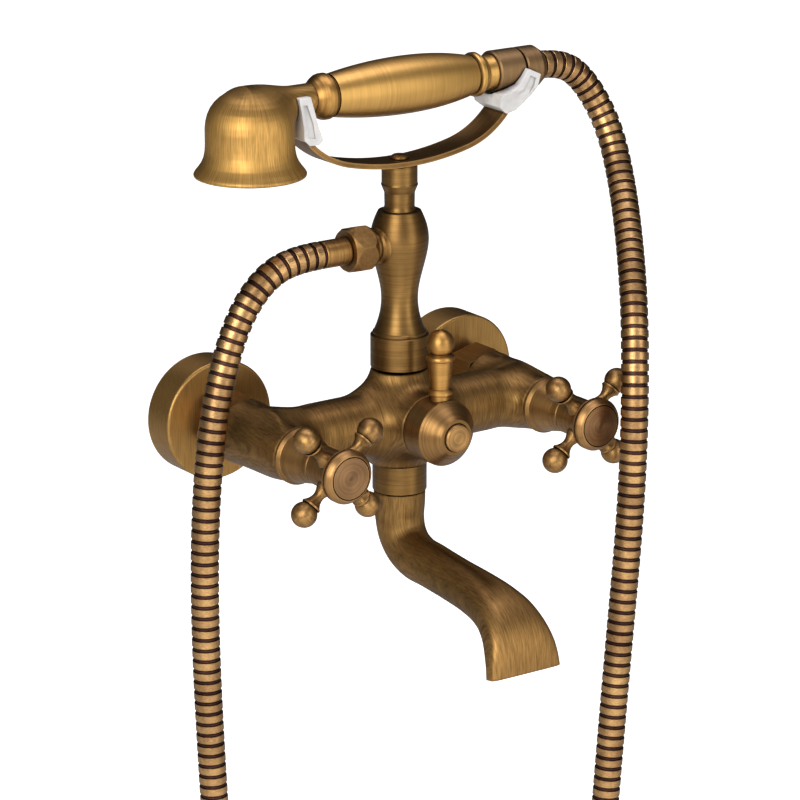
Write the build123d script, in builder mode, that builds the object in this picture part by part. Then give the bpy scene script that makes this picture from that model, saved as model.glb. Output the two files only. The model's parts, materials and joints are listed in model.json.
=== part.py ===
from build123d import *
import os
from math import cos, pi, radians, sin, sqrt, tan

# A wall mounted bath faucet with a cradled hand shower, in antique brass.
# The origin is on the wall, midway between the two inlets. +X is to the right,
# +Y goes into the wall and +Z is up, so the faucet stands out towards -Y.

# Layout
INLET_SPACING = 150.0
COLUMN_Y = -68.5
BAR_Z = 1.0
DIVERTER_Z = 2.5
HANDSET_Z = 170.3
OUTLET_Z = 91.5
FIT = 0.05
GAP = 0.3

# Wall side
FLANGE_R = 30.5
FLANGE_DEPTH = 19.0
FLANGE_WALL = 1.8
FLANGE_ROUND = 1.3
PIPE_THREAD_R = 10.48
PIPE_THREAD_LENGTH = 14.0
PIPE_BORE_R = 7.0
UNION_SHANK_R = 10.0
UNION_THREAD_R = 13.2
UNION_FRONT_Y = -36.2
WASHER_THICKNESS = 2.0
NUT_FLATS = 30.0
NUT_BACK_Y = -23.5
INLET_Y = -42.0

# Casting
BAR_R = 16.4
BAR_END_R = 14.9
BAR_SHOULDER_X = 52.0
ARM_BACK_R = 16.5
ARM_FRONT_R = 14.1
ARM_FRONT_Y = -90.5
BARREL_R = 13.9
BARREL_TOP_Z = 28.0
BARREL_BOTTOM_Z = -21.6
BOSS_R = 16.4
BOSS_FRONT_Y = -95.4
BLEND_R = 5.0
WATERWAY_R = 6.0

# Valves
CARTRIDGE_R = 9.8
CARTRIDGE_BACK_Y = -68.0
CARTRIDGE_FRONT_Y = -98.0
CHAMBER_FRONT_Y = -80.0
WINDOW = 5.0
SPINDLE_R = 4.0
DISC_R = 7.9
DISC_THICKNESS = 3.0
PORT_R = 2.0
PORT_CIRCLE_R = 4.2
FOOT_THICKNESS = 2.0
BONNET_R = 13.0
BONNET_FRONT_R = 9.8
BONNET_FRONT_Y = -111.4
BONNET_NOSE_Y = -107.0
BONNET_HOLE_R = 4.6

# Cross handles
HUB_BACK_Y = -112.0
HUB_FRONT_Y = -128.6
HUB_R = 9.9
ARM_PLANE_Y = -124.0
ARM_ROOT_R = 4.4
ARM_NECK_R = 2.7
ARM_COLLAR_R = 5.0
ARM_COLLAR_AT = 20.9
BALL_CIRCLE_R = 26.0
BALL_R = 6.4
BALL_STUD_R = 1.5
BALL_STUD_LENGTH = 5.0
HANDLE_TILT = -2.5
SPINDLE_END_Y = -124.0
CAP_SHANK_R = 7.5
CAP_R = 13.4
CAP_FACE_R = 10.5
CAP_FRONT_Y = -136.2
SCREW_HEAD_R = 4.4
SCREW_R = 2.4
SCREW_LENGTH = 8.0

# Diverter
DIVERTER_BACK_Y = -62.0
DIVERTER_FRONT_Y = -94.8
PLUG_R = 7.5
PLUG_LENGTH = 12.0
DRUM_R = 16.6
DRUM_BACK_Y = -95.7
DRUM_FRONT_Y = -109.6
CONE_R = 8.9
CONE_FRONT_Y = -117.6
RECESS_FLOOR_Y = -112.0
BUTTON_R = 6.9
BUTTON_FRONT_Y = -119.4
LEVER_Y = -103.6
LEVER_FOOT_R = 6.3
LEVER_FOOT_Z = 21.7
LEVER_NECK_R = 4.9
LEVER_WIDE_R = 7.1
LEVER_BALL_R = 6.9
LEVER_BALL_Z = 47.4

# Riser
COLLAR_R = 14.6
COLLAR_TOP_Z = 44.7
RISER_BASE_R = 13.4
WAIST_R = 9.2
WAIST_Z = 64.5
BULB_R = 14.5
BULB_Z = 92.0
RISER_TOP_R = 10.7
RISER_TOP_Z = 107.6
RISER_TAIL_R = 9.0
RISER_TAIL_Z = 14.0
RISER_RING_Z = 21.0
RISER_BORE_R = 5.0
PIN_R = 4.0
PIN_BOTTOM_Z = 99.6
O_RING_R = 0.8

# Cradle
POST_R = 7.6
POST_CAP_R = 8.9
POST_STEP_Z = 120.5
CRADLE_Z = 131.0
STRIP_WIDTH = 17.0
STRIP_THICKNESS = 2.6
STRIP_MIDDLE_RADIUS = 150.0
STRIP_MIDDLE_TURN = 13.5
STRIP_END_RADIUS = 46.0
STRIP_END_TURN = 37.0
PAD_WALL = 2.7
PAD_CLEARANCE = 0.4
PAD_GROOVE = 1.0
PAD_FOOT_HALF_WIDTH = 9.2
NECK_PAD_SIDE = [(-51.0, 151.2), (-53.4, 149.0), (-58.6, 149.2), (-61.8, 152.2), (-62.2, 158.0),
                 (-65.2, 173.4), (-58.6, 173.4), (-54.6, 160.2)]
NECK_PAD_GROOVE = [(-55.6, 152.4), (-59.8, 153.4), (-60.3, 158.0), (-62.9, 169.6), (-60.6, 169.6),
                   (-57.0, 160.0)]
NUT_PAD_SIDE = [(52.8, 158.4), (53.2, 154.2), (58.4, 150.2), (63.3, 151.4), (67.6, 155.2), (71.6, 159.4),
                (74.2, 163.2), (76.0, 169.0), (68.4, 172.6), (65.4, 168.3), (62.8, 164.8), (58.4, 162.6),
                (53.0, 160.8)]
NUT_PAD_GROOVE = [(57.6, 151.8), (62.6, 153.4), (66.4, 156.6), (70.0, 160.6), (72.2, 164.2), (73.0, 167.4),
                  (69.6, 169.0), (67.6, 165.6), (65.2, 162.4), (60.0, 158.0)]

# Hand shower
BELL_X = -87.0
BELL_R = 21.6
BELL_RIM_R = 27.3
BELL_RIM_Z = 136.8
BELL_TOP_Z = 181.3
BELL_WALL = 2.0
PLATE_R = 23.4
PLATE_TOP_Z = 138.8
PLATE_THICKNESS = 1.6
GASKET_THICKNESS = 1.0
SPRAY_RINGS = [(5.0, 6), (10.0, 12), (15.0, 18), (20.0, 24)]
SPRAY_HOLE_R = 0.8
TUBE_START_X = -66.0
NECK_R = 6.9
NECK_END_X = -52.4
NECK_RING_R = 11.4
GRIP_START_X = -41.2
GRIP_MIDDLE_X = 0.0
GRIP_END_X = 41.5
GRIP_R = 14.3
GRIP_START_R = 10.6
GRIP_END_R = 10.0
TUBE_R = 5.0
END_RING_R = 11.1
THROAT_R = 8.9
NUT_START_X = 54.5
THREAD_R = 8.6
THREAD_END_X = 64.0
SWIVEL_FLANGE_X = 66.0
SWIVEL_SPIGOT_R = 5.6
NUT_END_X = 70.0
SLEEVE_START_X = 71.2
SLEEVE_END_X = 84.0
SWIVEL_R = 10.6

# Spout
SPOUT_COLLAR_R = 13.7
SPOUT_COLLAR_BOTTOM_Z = -36.3
SPOUT_TOP_Z = -36.7
SPOUT_TAIL_R = 8.9
SPOUT_TAIL_TOP_Z = -8.0
SPOUT_RING_Z = -14.0
SPOUT_R = 12.0
SPOUT_TOP_R = 13.2
SPOUT_WALL = 1.8
BEND_TOP_Z = -51.0
BEND_RADIUS = 17.5
BEND_TURN = 85.2
RUN_LENGTH = 56.5
MOUTH_HALF_WIDTH = 21.0
MOUTH_HALF_DEPTH = 4.6
STRAIGHTENER_RECESS = 1.6
STRAIGHTENER_THICKNESS = 3.0

# Hose
HOSE_D = 14.0
HOSE_WALL = 0.8
FERRULE_R = 6.9
FERRULE_END_X = -46.7
HOSE_NUT_R = 12.5
HOSE_NUT_RIGHT_X = -18.6
HOSE_NUT_LEFT_X = -32.2
NIPPLE_R = 9.4
NIPPLE_FLANGE_R = 9.15
NIPPLE_END_X = -26.0
OUTLET_SEAT_X = -28.2
OUTLET_SHOULDER_X = -29.2
SPIGOT_R = 5.6
HOSE_BORE_R = 3.5
HOSE_TURN_SHARE = 0.45
HOSE_LOWER_ROUTE = [
    (FERRULE_END_X, COLUMN_Y, OUTLET_Z),
    (-62, COLUMN_Y, OUTLET_Z),
    (-79, COLUMN_Y, 85.3),
    (-93.5, COLUMN_Y, 69),
    (-103.8, COLUMN_Y, 44),
    (-111.8, COLUMN_Y, 8),
    (-115.8, COLUMN_Y, -38),
    (-116.3, COLUMN_Y, -92),
    (-114, -69, -158),
    (-110.5, -71, -238),
    (-106, -74, -322),
    (-99, -78, -405),
    (-84, -84, -480),
    (-52, -96.8, -541),
    (-20, -109, -541),
]
HOSE_UPPER_ROUTE = [
    (SLEEVE_END_X, COLUMN_Y, HANDSET_Z),
    (98.5, COLUMN_Y, HANDSET_Z),
    (112, -70.5, 160),
    (120.5, -79, 139),
    (119.5, -91, 117),
    (110, -111, 92),
    (97, -133, 63),
    (88, -146.5, 30),
    (86, -149, -12),
    (83.5, -149, -58),
    (79, -148.5, -112),
    (74, -148, -176),
    (69.5, -146.5, -250),
    (65, -144, -330),
    (60, -140, -410),
    (45, -133.5, -483),
    (12, -121.2, -541),
    (-20, -109, -541),
]

VALVE_X = INLET_SPACING / 2
FRONT = Plane.XZ.offset(-COLUMN_Y)
COLUMN_AXIS = Axis((0, COLUMN_Y, 0), (0, 0, 1))
HANDSET_AXIS = Axis((0, COLUMN_Y, HANDSET_Z), (1, 0, 0))
BELL_AXIS = Axis((BELL_X, COLUMN_Y, 0), (0, 0, 1))
DRUM_TOP_Z = DIVERTER_Z + DRUM_R
RUN_DIRECTION = (-sin(radians(BEND_TURN)), -cos(radians(BEND_TURN)))
RUN_START = (COLUMN_Y - BEND_RADIUS * (1 + RUN_DIRECTION[1]), BEND_TOP_Z + BEND_RADIUS * RUN_DIRECTION[0])
FLARE_START = (RUN_START[0] + RUN_LENGTH * RUN_DIRECTION[0], RUN_START[1] + RUN_LENGTH * RUN_DIRECTION[1])
VALVES = {"hot": -VALVE_X, "cold": VALVE_X}
INLETS = {"left": -VALVE_X, "right": VALVE_X}

pieces = {}


def save(name, builder):
    """Label a finished piece and keep it for the export."""
    builder.part.label = name
    pieces[name] = builder.part


def turned(outline, plane, axis, mode=Mode.ADD):
    """Revolve a closed outline of straight edges about an axis, in the current part."""
    with BuildSketch(plane) as face:
        with BuildLine():
            Polyline(*outline, close=True)
        make_face()
    revolve(face.sketch, axis=axis, mode=mode)


def tube(near, far, inner, outer):
    """Half section of a plain tube, as (radius, place along the axis) points."""
    return [(inner, near), (outer, near), (outer, far), (inner, far)]


def along_y(outline, x, z=0.0, mode=Mode.ADD):
    """Turn (radius, y) points about the line through (x, z) that runs along Y."""
    moved = [(x + radius, y) for radius, y in outline]
    turned(moved, Plane.XY.offset(z), Axis((x, 0, z), (0, 1, 0)), mode)


def along_x(outline, z, mode=Mode.ADD):
    """Turn (radius, x) points about the line at the column's depth that runs along X."""
    raised = [(x, z + radius) for radius, x in outline]
    turned(raised, FRONT, Axis((0, COLUMN_Y, z), (1, 0, 0)), mode)


def along_z(outline, mode=Mode.ADD):
    """Turn (radius, z) points about the column's axis."""
    turned(outline, FRONT, COLUMN_AXIS, mode)


# ---------------------------------------------------------------- wall side

def make_wall_flange(x):
    """Deep cup that covers the hole in the wall."""
    with BuildPart() as flange:
        along_y(tube(-FLANGE_DEPTH, 0, PIPE_THREAD_R + FIT, FLANGE_R), x)
        front = flange.edges().filter_by(GeomType.CIRCLE).group_by(Axis.Y)[0]
        fillet(front.sort_by(SortBy.RADIUS)[-1], FLANGE_ROUND)
        along_y(tube(FLANGE_WALL - FLANGE_DEPTH, 0, 0, FLANGE_R - FLANGE_WALL), x, mode=Mode.SUBTRACT)
    return flange


def make_wall_union(x):
    """Threaded tail that screws into the wall, with the collar that takes the nut."""
    with BuildPart() as union:
        outline = [
            (PIPE_BORE_R, PIPE_THREAD_LENGTH),
            (PIPE_THREAD_R - 1, PIPE_THREAD_LENGTH),
            (PIPE_THREAD_R, PIPE_THREAD_LENGTH - 1),
            (PIPE_THREAD_R, 0.5),
            (UNION_SHANK_R, 0.5),
            (UNION_SHANK_R, NUT_BACK_Y),
            (UNION_THREAD_R, NUT_BACK_Y),
            (UNION_THREAD_R, UNION_FRONT_Y),
            (PIPE_BORE_R, UNION_FRONT_Y),
        ]
        along_y(outline, x)
    return union


def make_union_nuts():
    """The two hexagon nuts that draw the casting onto the wall unions."""
    with BuildPart() as nuts:
        for x in INLETS.values():
            back = Plane(origin=(x, NUT_BACK_Y, 0), x_dir=(1, 0, 0), z_dir=(0, -1, 0))
            with BuildSketch(back) as hexagon:
                RegularPolygon(NUT_FLATS / 2, 6, major_radius=False, rotation=15)
            extrude(hexagon.sketch, amount=NUT_BACK_Y - INLET_Y)
            along_y(tube(INLET_Y, NUT_BACK_Y, 0, UNION_THREAD_R + FIT), x, mode=Mode.SUBTRACT)
    return nuts


def make_union_washers():
    """Flat fibre washers between the unions and the casting."""
    with BuildPart() as washers:
        for x in INLETS.values():
            front_y = UNION_FRONT_Y - WASHER_THICKNESS
            along_y(tube(front_y, UNION_FRONT_Y, PIPE_BORE_R, UNION_THREAD_R), x)
    return washers


# ------------------------------------------------------------------ casting

def make_mixer_body():
    """One casting: two valve arms, the bar between them, the barrel and the front boss."""
    with BuildPart() as body:
        along_x([(0, -VALVE_X), (BAR_END_R - BAR_Z, -VALVE_X), (BAR_R - BAR_Z, -BAR_SHOULDER_X),
                 (BAR_R - BAR_Z, BAR_SHOULDER_X), (BAR_END_R - BAR_Z, VALVE_X), (0, VALVE_X)], BAR_Z)
        for x in VALVES.values():
            along_y([(0, INLET_Y), (ARM_BACK_R, INLET_Y), (ARM_BACK_R, INLET_Y - 4),
                     (ARM_FRONT_R, ARM_FRONT_Y), (0, ARM_FRONT_Y)], x)
        along_z(tube(BARREL_BOTTOM_Z, BARREL_TOP_Z, 0, BARREL_R))
        along_y(tube(BOSS_FRONT_Y, COLUMN_Y, 0, BOSS_R), 0, DIVERTER_Z)
        fillet(body.edges().filter_by(GeomType.BSPLINE), BLEND_R)
        for x in VALVES.values():
            spigot_y = UNION_FRONT_Y - WASHER_THICKNESS
            along_y(tube(INLET_Y, spigot_y, 0, UNION_THREAD_R), x)
            along_y(tube(ARM_FRONT_Y, CARTRIDGE_BACK_Y, 0, CARTRIDGE_R + FIT), x, mode=Mode.SUBTRACT)
            along_y(tube(CARTRIDGE_BACK_Y, spigot_y, 0, PIPE_BORE_R), x, mode=Mode.SUBTRACT)
        along_x(tube(-VALVE_X, VALVE_X, 0, WATERWAY_R), 0, Mode.SUBTRACT)
        along_y(tube(BOSS_FRONT_Y, DIVERTER_BACK_Y, 0, CARTRIDGE_R + FIT), 0, DIVERTER_Z, Mode.SUBTRACT)
        along_z(tube(0, BARREL_TOP_Z, 0, RISER_TAIL_R + FIT), Mode.SUBTRACT)
        along_z(tube(BARREL_BOTTOM_Z, 0, 0, SPOUT_TAIL_R + FIT), Mode.SUBTRACT)
    return body


# ------------------------------------------------------------------- valves

def make_bonnet(x):
    """Sleeve with a bead, screwed over the cartridge."""
    with BuildPart() as bonnet:
        bore_r = CARTRIDGE_R + FIT
        outline = [
            (bore_r, ARM_FRONT_Y),
            (ARM_FRONT_R, ARM_FRONT_Y),
            (ARM_FRONT_R + 0.3, ARM_FRONT_Y - 0.6),
            (ARM_FRONT_R + 0.3, ARM_FRONT_Y - 1.8),
            (ARM_FRONT_R - 0.5, ARM_FRONT_Y - 2.6),
            (BONNET_R, ARM_FRONT_Y - 3.2),
            (BONNET_FRONT_R + 0.2, BONNET_NOSE_Y),
            (BONNET_FRONT_R, BONNET_FRONT_Y + 0.5),
            (BONNET_FRONT_R - 0.5, BONNET_FRONT_Y),
            (BONNET_HOLE_R, BONNET_FRONT_Y),
            (BONNET_HOLE_R, CARTRIDGE_FRONT_Y - FIT),
            (bore_r, CARTRIDGE_FRONT_Y - FIT),
        ]
        along_y(outline, x)
    return bonnet


def make_cartridge(x):
    """Brass shell that holds the ceramic discs and guides the spindle."""
    with BuildPart() as cartridge:
        along_y(tube(CARTRIDGE_FRONT_Y, CARTRIDGE_BACK_Y, SPINDLE_R + FIT, CARTRIDGE_R), x)
        along_y(tube(CHAMBER_FRONT_Y, CARTRIDGE_BACK_Y, 0, DISC_R + FIT), x, mode=Mode.SUBTRACT)
        with BuildSketch(Plane.YZ.offset(x - CARTRIDGE_R - 1)) as window:
            with Locations((CHAMBER_FRONT_Y + WINDOW, 0)):
                Rectangle(WINDOW, WINDOW)
        extrude(window.sketch, amount=2 * CARTRIDGE_R + 2, mode=Mode.SUBTRACT)
    return cartridge


def make_ceramic_disc(x, back_y, radius):
    """Ceramic disc with two round ports."""
    with BuildPart() as disc:
        back = Plane(origin=(x, back_y, 0), x_dir=(1, 0, 0), z_dir=(0, -1, 0))
        with BuildSketch(back) as outline:
            Circle(radius)
            with PolarLocations(PORT_CIRCLE_R, 2):
                Circle(PORT_R, mode=Mode.SUBTRACT)
        extrude(outline.sketch, amount=DISC_THICKNESS)
    return disc


def make_valve_spindle(x, foot_back_y):
    """Spindle with a foot that drives the moving disc."""
    with BuildPart() as spindle:
        foot_front_y = foot_back_y - FOOT_THICKNESS
        outline = [
            (0, foot_back_y),
            (DISC_R - GAP, foot_back_y),
            (DISC_R - GAP, foot_front_y),
            (SPINDLE_R, foot_front_y),
            (SPINDLE_R, SPINDLE_END_Y),
            (SCREW_R, SPINDLE_END_Y),
            (SCREW_R, SPINDLE_END_Y + SCREW_LENGTH),
            (0, SPINDLE_END_Y + SCREW_LENGTH),
        ]
        along_y(outline, x)
    return spindle


# ------------------------------------------------------------ cross handles

def arm_planes(x):
    """A plane through each arm of a handle: its own X runs outwards along the arm."""
    planes = []
    for step in range(4):
        angle = radians(45 + HANDLE_TILT + 90 * step)
        outwards = (cos(angle), 0, sin(angle))
        planes.append(Plane(origin=(x, ARM_PLANE_Y, 0), x_dir=outwards, z_dir=(0, -1, 0)))
    return planes


def make_handle_hub(x):
    """Hub with four flared arms that end in flat collars, bored for the ball studs."""
    with BuildPart() as hub:
        outline = [
            (0, HUB_BACK_Y),
            (HUB_R - 0.4, HUB_BACK_Y),
            (HUB_R, HUB_BACK_Y - 0.4),
            (HUB_R, ARM_PLANE_Y),
            (HUB_R + 1.2, HUB_FRONT_Y),
            (0, HUB_FRONT_Y),
        ]
        along_y(outline, x)
        stud_end = ARM_COLLAR_AT - BALL_STUD_LENGTH
        for plane in arm_planes(x):
            with BuildSketch(plane) as arm:
                with BuildLine():
                    Polyline((stud_end, 0), (2, 0), (2, ARM_ROOT_R), (10, ARM_ROOT_R))
                    Spline((10, ARM_ROOT_R), (14.4, ARM_NECK_R), (ARM_COLLAR_AT - 1, ARM_COLLAR_R - 0.3),
                           tangents=[(1, -0.4), (1, 0.9)])
                    Polyline((ARM_COLLAR_AT - 1, ARM_COLLAR_R - 0.3), (ARM_COLLAR_AT - 0.8, ARM_COLLAR_R),
                             (ARM_COLLAR_AT, ARM_COLLAR_R), (ARM_COLLAR_AT, BALL_STUD_R),
                             (stud_end, BALL_STUD_R), (stud_end, 0))
                make_face()
            revolve(arm.sketch, axis=Axis(plane.origin, plane.x_dir))
        along_y(tube(SPINDLE_END_Y, HUB_BACK_Y, 0, SPINDLE_R), x, mode=Mode.SUBTRACT)
        along_y(tube(HUB_FRONT_Y, SPINDLE_END_Y, 0, CAP_SHANK_R), x, mode=Mode.SUBTRACT)
    return hub


def make_ball_tips(x):
    """The four ball ends, each screwed into its arm by a short stud."""
    with BuildPart() as balls:
        flat = BALL_CIRCLE_R - ARM_COLLAR_AT
        flat_r = sqrt(BALL_R ** 2 - flat ** 2)
        stud_end = ARM_COLLAR_AT - BALL_STUD_LENGTH + GAP
        for plane in arm_planes(x):
            with BuildSketch(plane) as ball:
                with BuildLine():
                    Polyline((BALL_CIRCLE_R + BALL_R, 0), (stud_end, 0), (stud_end, BALL_STUD_R),
                             (ARM_COLLAR_AT, BALL_STUD_R), (ARM_COLLAR_AT, flat_r))
                    ball_end = (BALL_CIRCLE_R + BALL_R, 0)
                    ThreePointArc((ARM_COLLAR_AT, flat_r), (BALL_CIRCLE_R, BALL_R), ball_end)
                make_face()
            revolve(ball.sketch, axis=Axis(plane.origin, plane.x_dir))
    return balls


def make_index_cap(x):
    """Screwed cap with a rounded bezel and a raised face."""
    with BuildPart() as cap:
        outline = [
            (CAP_SHANK_R - 2, HUB_FRONT_Y + 3),
            (CAP_SHANK_R - FIT, HUB_FRONT_Y + 3),
            (CAP_SHANK_R - FIT, HUB_FRONT_Y),
            (CAP_FACE_R - 1, HUB_FRONT_Y),
            (CAP_FACE_R - 1, HUB_FRONT_Y - 1),
            (CAP_R - 0.8, HUB_FRONT_Y - 1),
            (CAP_R, HUB_FRONT_Y - 1.8),
            (CAP_R, HUB_FRONT_Y - 2.6),
            (CAP_R - 1.2, HUB_FRONT_Y - 2.8),
            (CAP_R - 1.2, HUB_FRONT_Y - 3.6),
            (CAP_R, HUB_FRONT_Y - 3.8),
            (CAP_R, HUB_FRONT_Y - 4.6),
            (CAP_R - 0.4, HUB_FRONT_Y - 5.4),
            (CAP_R - 1.2, HUB_FRONT_Y - 6.3),
            (CAP_FACE_R + 0.9, CAP_FRONT_Y + 0.3),
            (CAP_FACE_R + 0.3, CAP_FRONT_Y + 0.1),
            (CAP_FACE_R + 0.2, CAP_FRONT_Y + 0.7),
            (CAP_FACE_R - 0.2, CAP_FRONT_Y + 0.7),
            (CAP_FACE_R - 0.3, CAP_FRONT_Y),
            (0, CAP_FRONT_Y),
            (0, HUB_FRONT_Y - 2),
            (CAP_SHANK_R - 2, HUB_FRONT_Y - 2),
        ]
        along_y(outline, x)
    return cap


def make_axial_screw(x, z, seat_y, head_thickness, socket_flats):
    """Socket screw along Y, with its head in front of the seat."""
    with BuildPart() as screw:
        outline = [
            (0, seat_y + SCREW_LENGTH),
            (SCREW_R - 0.5, seat_y + SCREW_LENGTH),
            (SCREW_R, seat_y + SCREW_LENGTH - 0.5),
            (SCREW_R, seat_y),
            (SCREW_HEAD_R, seat_y),
            (SCREW_HEAD_R, seat_y - head_thickness + 0.4),
            (SCREW_HEAD_R - 0.4, seat_y - head_thickness),
            (0, seat_y - head_thickness),
        ]
        along_y(outline, x, z)
        front = Plane(origin=(x, seat_y - head_thickness, z), x_dir=(1, 0, 0), z_dir=(0, 1, 0))
        with BuildSketch(front) as socket:
            RegularPolygon(socket_flats / 2, 6, major_radius=False)
        extrude(socket.sketch, amount=head_thickness / 2, mode=Mode.SUBTRACT)
    return screw


# ----------------------------------------------------------------- diverter

def make_diverter_cartridge():
    """Brass shell around the diverter's plug."""
    with BuildPart() as cartridge:
        along_y(tube(DIVERTER_FRONT_Y, DIVERTER_BACK_Y, SPINDLE_R + FIT, CARTRIDGE_R), 0, DIVERTER_Z)
        chamber_y = DIVERTER_BACK_Y - PLUG_LENGTH - 1
        along_y(tube(chamber_y, DIVERTER_BACK_Y, 0, PLUG_R + FIT), 0, DIVERTER_Z, Mode.SUBTRACT)
        with BuildSketch(Plane.XY.offset(DIVERTER_Z - CARTRIDGE_R - 1)) as window:
            with Locations((0, COLUMN_Y)):
                Rectangle(WINDOW, WINDOW)
        extrude(window.sketch, amount=2 * CARTRIDGE_R + 2, mode=Mode.SUBTRACT)
    return cartridge


def make_diverter_spindle():
    """Spindle with a ported plug that sends the water up or down."""
    with BuildPart() as spindle:
        plug_front_y = DIVERTER_BACK_Y - PLUG_LENGTH
        outline = [
            (0, DIVERTER_BACK_Y),
            (PLUG_R, DIVERTER_BACK_Y),
            (PLUG_R, plug_front_y),
            (SPINDLE_R, plug_front_y),
            (SPINDLE_R, RECESS_FLOOR_Y),
            (SCREW_R, RECESS_FLOOR_Y),
            (SCREW_R, RECESS_FLOOR_Y + SCREW_LENGTH),
            (0, RECESS_FLOOR_Y + SCREW_LENGTH),
        ]
        along_y(outline, 0, DIVERTER_Z)
        with BuildSketch(Plane.XY.offset(DIVERTER_Z)) as port:
            with Locations((0, COLUMN_Y)):
                Rectangle(WINDOW, WINDOW)
        extrude(port.sketch, amount=PLUG_R, mode=Mode.SUBTRACT)
    return spindle


def make_diverter_knob():
    """Drum with a coned front, drilled on top for the lever."""
    with BuildPart() as knob:
        outline = [
            (0, DRUM_BACK_Y),
            (DRUM_R - 0.6, DRUM_BACK_Y),
            (DRUM_R, DRUM_BACK_Y - 0.6),
            (DRUM_R, DRUM_FRONT_Y + 0.8),
            (DRUM_R - 0.8, DRUM_FRONT_Y),
            (CONE_R + 0.3, CONE_FRONT_Y + 0.2),
            (CONE_R, CONE_FRONT_Y),
            (BUTTON_R + 0.5, CONE_FRONT_Y),
            (BUTTON_R + 0.5, RECESS_FLOOR_Y),
            (0, RECESS_FLOOR_Y),
        ]
        along_y(outline, 0, DIVERTER_Z)
        along_y(tube(RECESS_FLOOR_Y, DRUM_BACK_Y, 0, SPINDLE_R), 0, DIVERTER_Z, Mode.SUBTRACT)
        with BuildSketch(Plane.XY.offset(DRUM_TOP_Z - 6)) as socket:
            with Locations((0, LEVER_Y)):
                Circle(SCREW_R)
        extrude(socket.sketch, amount=7, mode=Mode.SUBTRACT)
    return knob


def make_diverter_lever():
    """Turned lever: a flanged foot, a widening cone and a ball."""
    with BuildPart() as lever:
        neck_z = LEVER_BALL_Z - sqrt(LEVER_BALL_R ** 2 - LEVER_NECK_R ** 2)
        ball_top_z = LEVER_BALL_Z + LEVER_BALL_R
        with BuildSketch(Plane.XZ.offset(-LEVER_Y)) as outline:
            with BuildLine():
                Polyline((0, ball_top_z), (0, DRUM_TOP_Z - 5.8), (SCREW_R, DRUM_TOP_Z - 5.8),
                         (SCREW_R, DRUM_TOP_Z - 1.4), (LEVER_NECK_R, DRUM_TOP_Z - 1.4),
                         (LEVER_NECK_R, LEVER_FOOT_Z), (LEVER_FOOT_R - 0.3, LEVER_FOOT_Z),
                         (LEVER_FOOT_R, LEVER_FOOT_Z + 0.4), (LEVER_FOOT_R, LEVER_FOOT_Z + 1.8),
                         (LEVER_FOOT_R - 0.7, LEVER_FOOT_Z + 2.6), (LEVER_NECK_R, LEVER_FOOT_Z + 3.0),
                         (LEVER_WIDE_R - 0.7, 38.8), (LEVER_WIDE_R, 39.4), (LEVER_WIDE_R + 0.2, 40.2),
                         (LEVER_WIDE_R, 41.2),
                         (LEVER_NECK_R + 0.6, 42.0), (LEVER_NECK_R, neck_z))
                ThreePointArc((LEVER_NECK_R, neck_z), (LEVER_BALL_R, LEVER_BALL_Z), (0, ball_top_z))
            make_face()
        revolve(outline.sketch, axis=Axis((0, LEVER_Y, 0), (0, 0, 1)))
        along_y(tube(DRUM_FRONT_Y - 1, DRUM_BACK_Y + 1, SCREW_R + 3, DRUM_R), 0, DIVERTER_Z, Mode.SUBTRACT)
    return lever


def make_diverter_button():
    """Snap-in cover over the diverter's screw."""
    with BuildPart() as button:
        rim_y = RECESS_FLOOR_Y - FIT
        outline = [
            (SCREW_HEAD_R + GAP, rim_y),
            (BUTTON_R, rim_y),
            (BUTTON_R, BUTTON_FRONT_Y + 0.6),
            (BUTTON_R - 0.6, BUTTON_FRONT_Y),
            (0, BUTTON_FRONT_Y),
            (0, BUTTON_FRONT_Y + 2.5),
            (SCREW_HEAD_R + GAP, BUTTON_FRONT_Y + 2.5),
        ]
        along_y(outline, 0, DIVERTER_Z)
    return button


# -------------------------------------------------------------------- riser

def make_riser_collar():
    """Plain collar nut between the casting and the riser."""
    with BuildPart() as collar:
        along_z(tube(BARREL_TOP_Z, COLLAR_TOP_Z, RISER_TAIL_R + FIT, COLLAR_R))
        outer = collar.edges().filter_by(GeomType.CIRCLE).filter_by_position(Axis.X, -COLLAR_R, 0)
        chamfer(outer.sort_by(SortBy.RADIUS)[-2:], 0.4)
    return collar


def make_riser_column():
    """Turned column: flared foot, waist and bulb, with a drilled waterway."""
    with BuildPart() as column:
        with BuildSketch(FRONT) as outline:
            with BuildLine():
                Polyline((0, RISER_TOP_Z), (0, RISER_TAIL_Z), (RISER_TAIL_R, RISER_TAIL_Z),
                         (RISER_TAIL_R, COLLAR_TOP_Z), (RISER_BASE_R, COLLAR_TOP_Z),
                         (RISER_BASE_R, COLLAR_TOP_Z + 1.4), (RISER_BASE_R - 0.6, COLLAR_TOP_Z + 2.0))
                Spline((RISER_BASE_R - 0.6, COLLAR_TOP_Z + 2.0), (WAIST_R, WAIST_Z), (BULB_R, BULB_Z),
                       (RISER_TOP_R, RISER_TOP_Z), tangents=[(-0.45, 1), (-0.5, 1)])
                Line((RISER_TOP_R, RISER_TOP_Z), (0, RISER_TOP_Z))
            make_face()
        revolve(outline.sketch, axis=COLUMN_AXIS)
        along_z(tube(RISER_TAIL_Z, OUTLET_Z + RISER_BORE_R, 0, RISER_BORE_R), Mode.SUBTRACT)
        along_z(tube(PIN_BOTTOM_Z, RISER_TOP_Z, 0, PIN_R + FIT), Mode.SUBTRACT)
        along_x(tube(-BULB_R - 2, 0, 0, RISER_BORE_R + 1), OUTLET_Z, Mode.SUBTRACT)
        ring_groove(RISER_RING_Z, RISER_TAIL_R)
    return column


def ring_groove(z, tail_r):
    """Cut the groove of a rubber ring round a tail, in the current part."""
    half_height = O_RING_R + 0.2
    along_z(tube(z - half_height, z + half_height, tail_r - 2 * O_RING_R, tail_r + 1), Mode.SUBTRACT)


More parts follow.
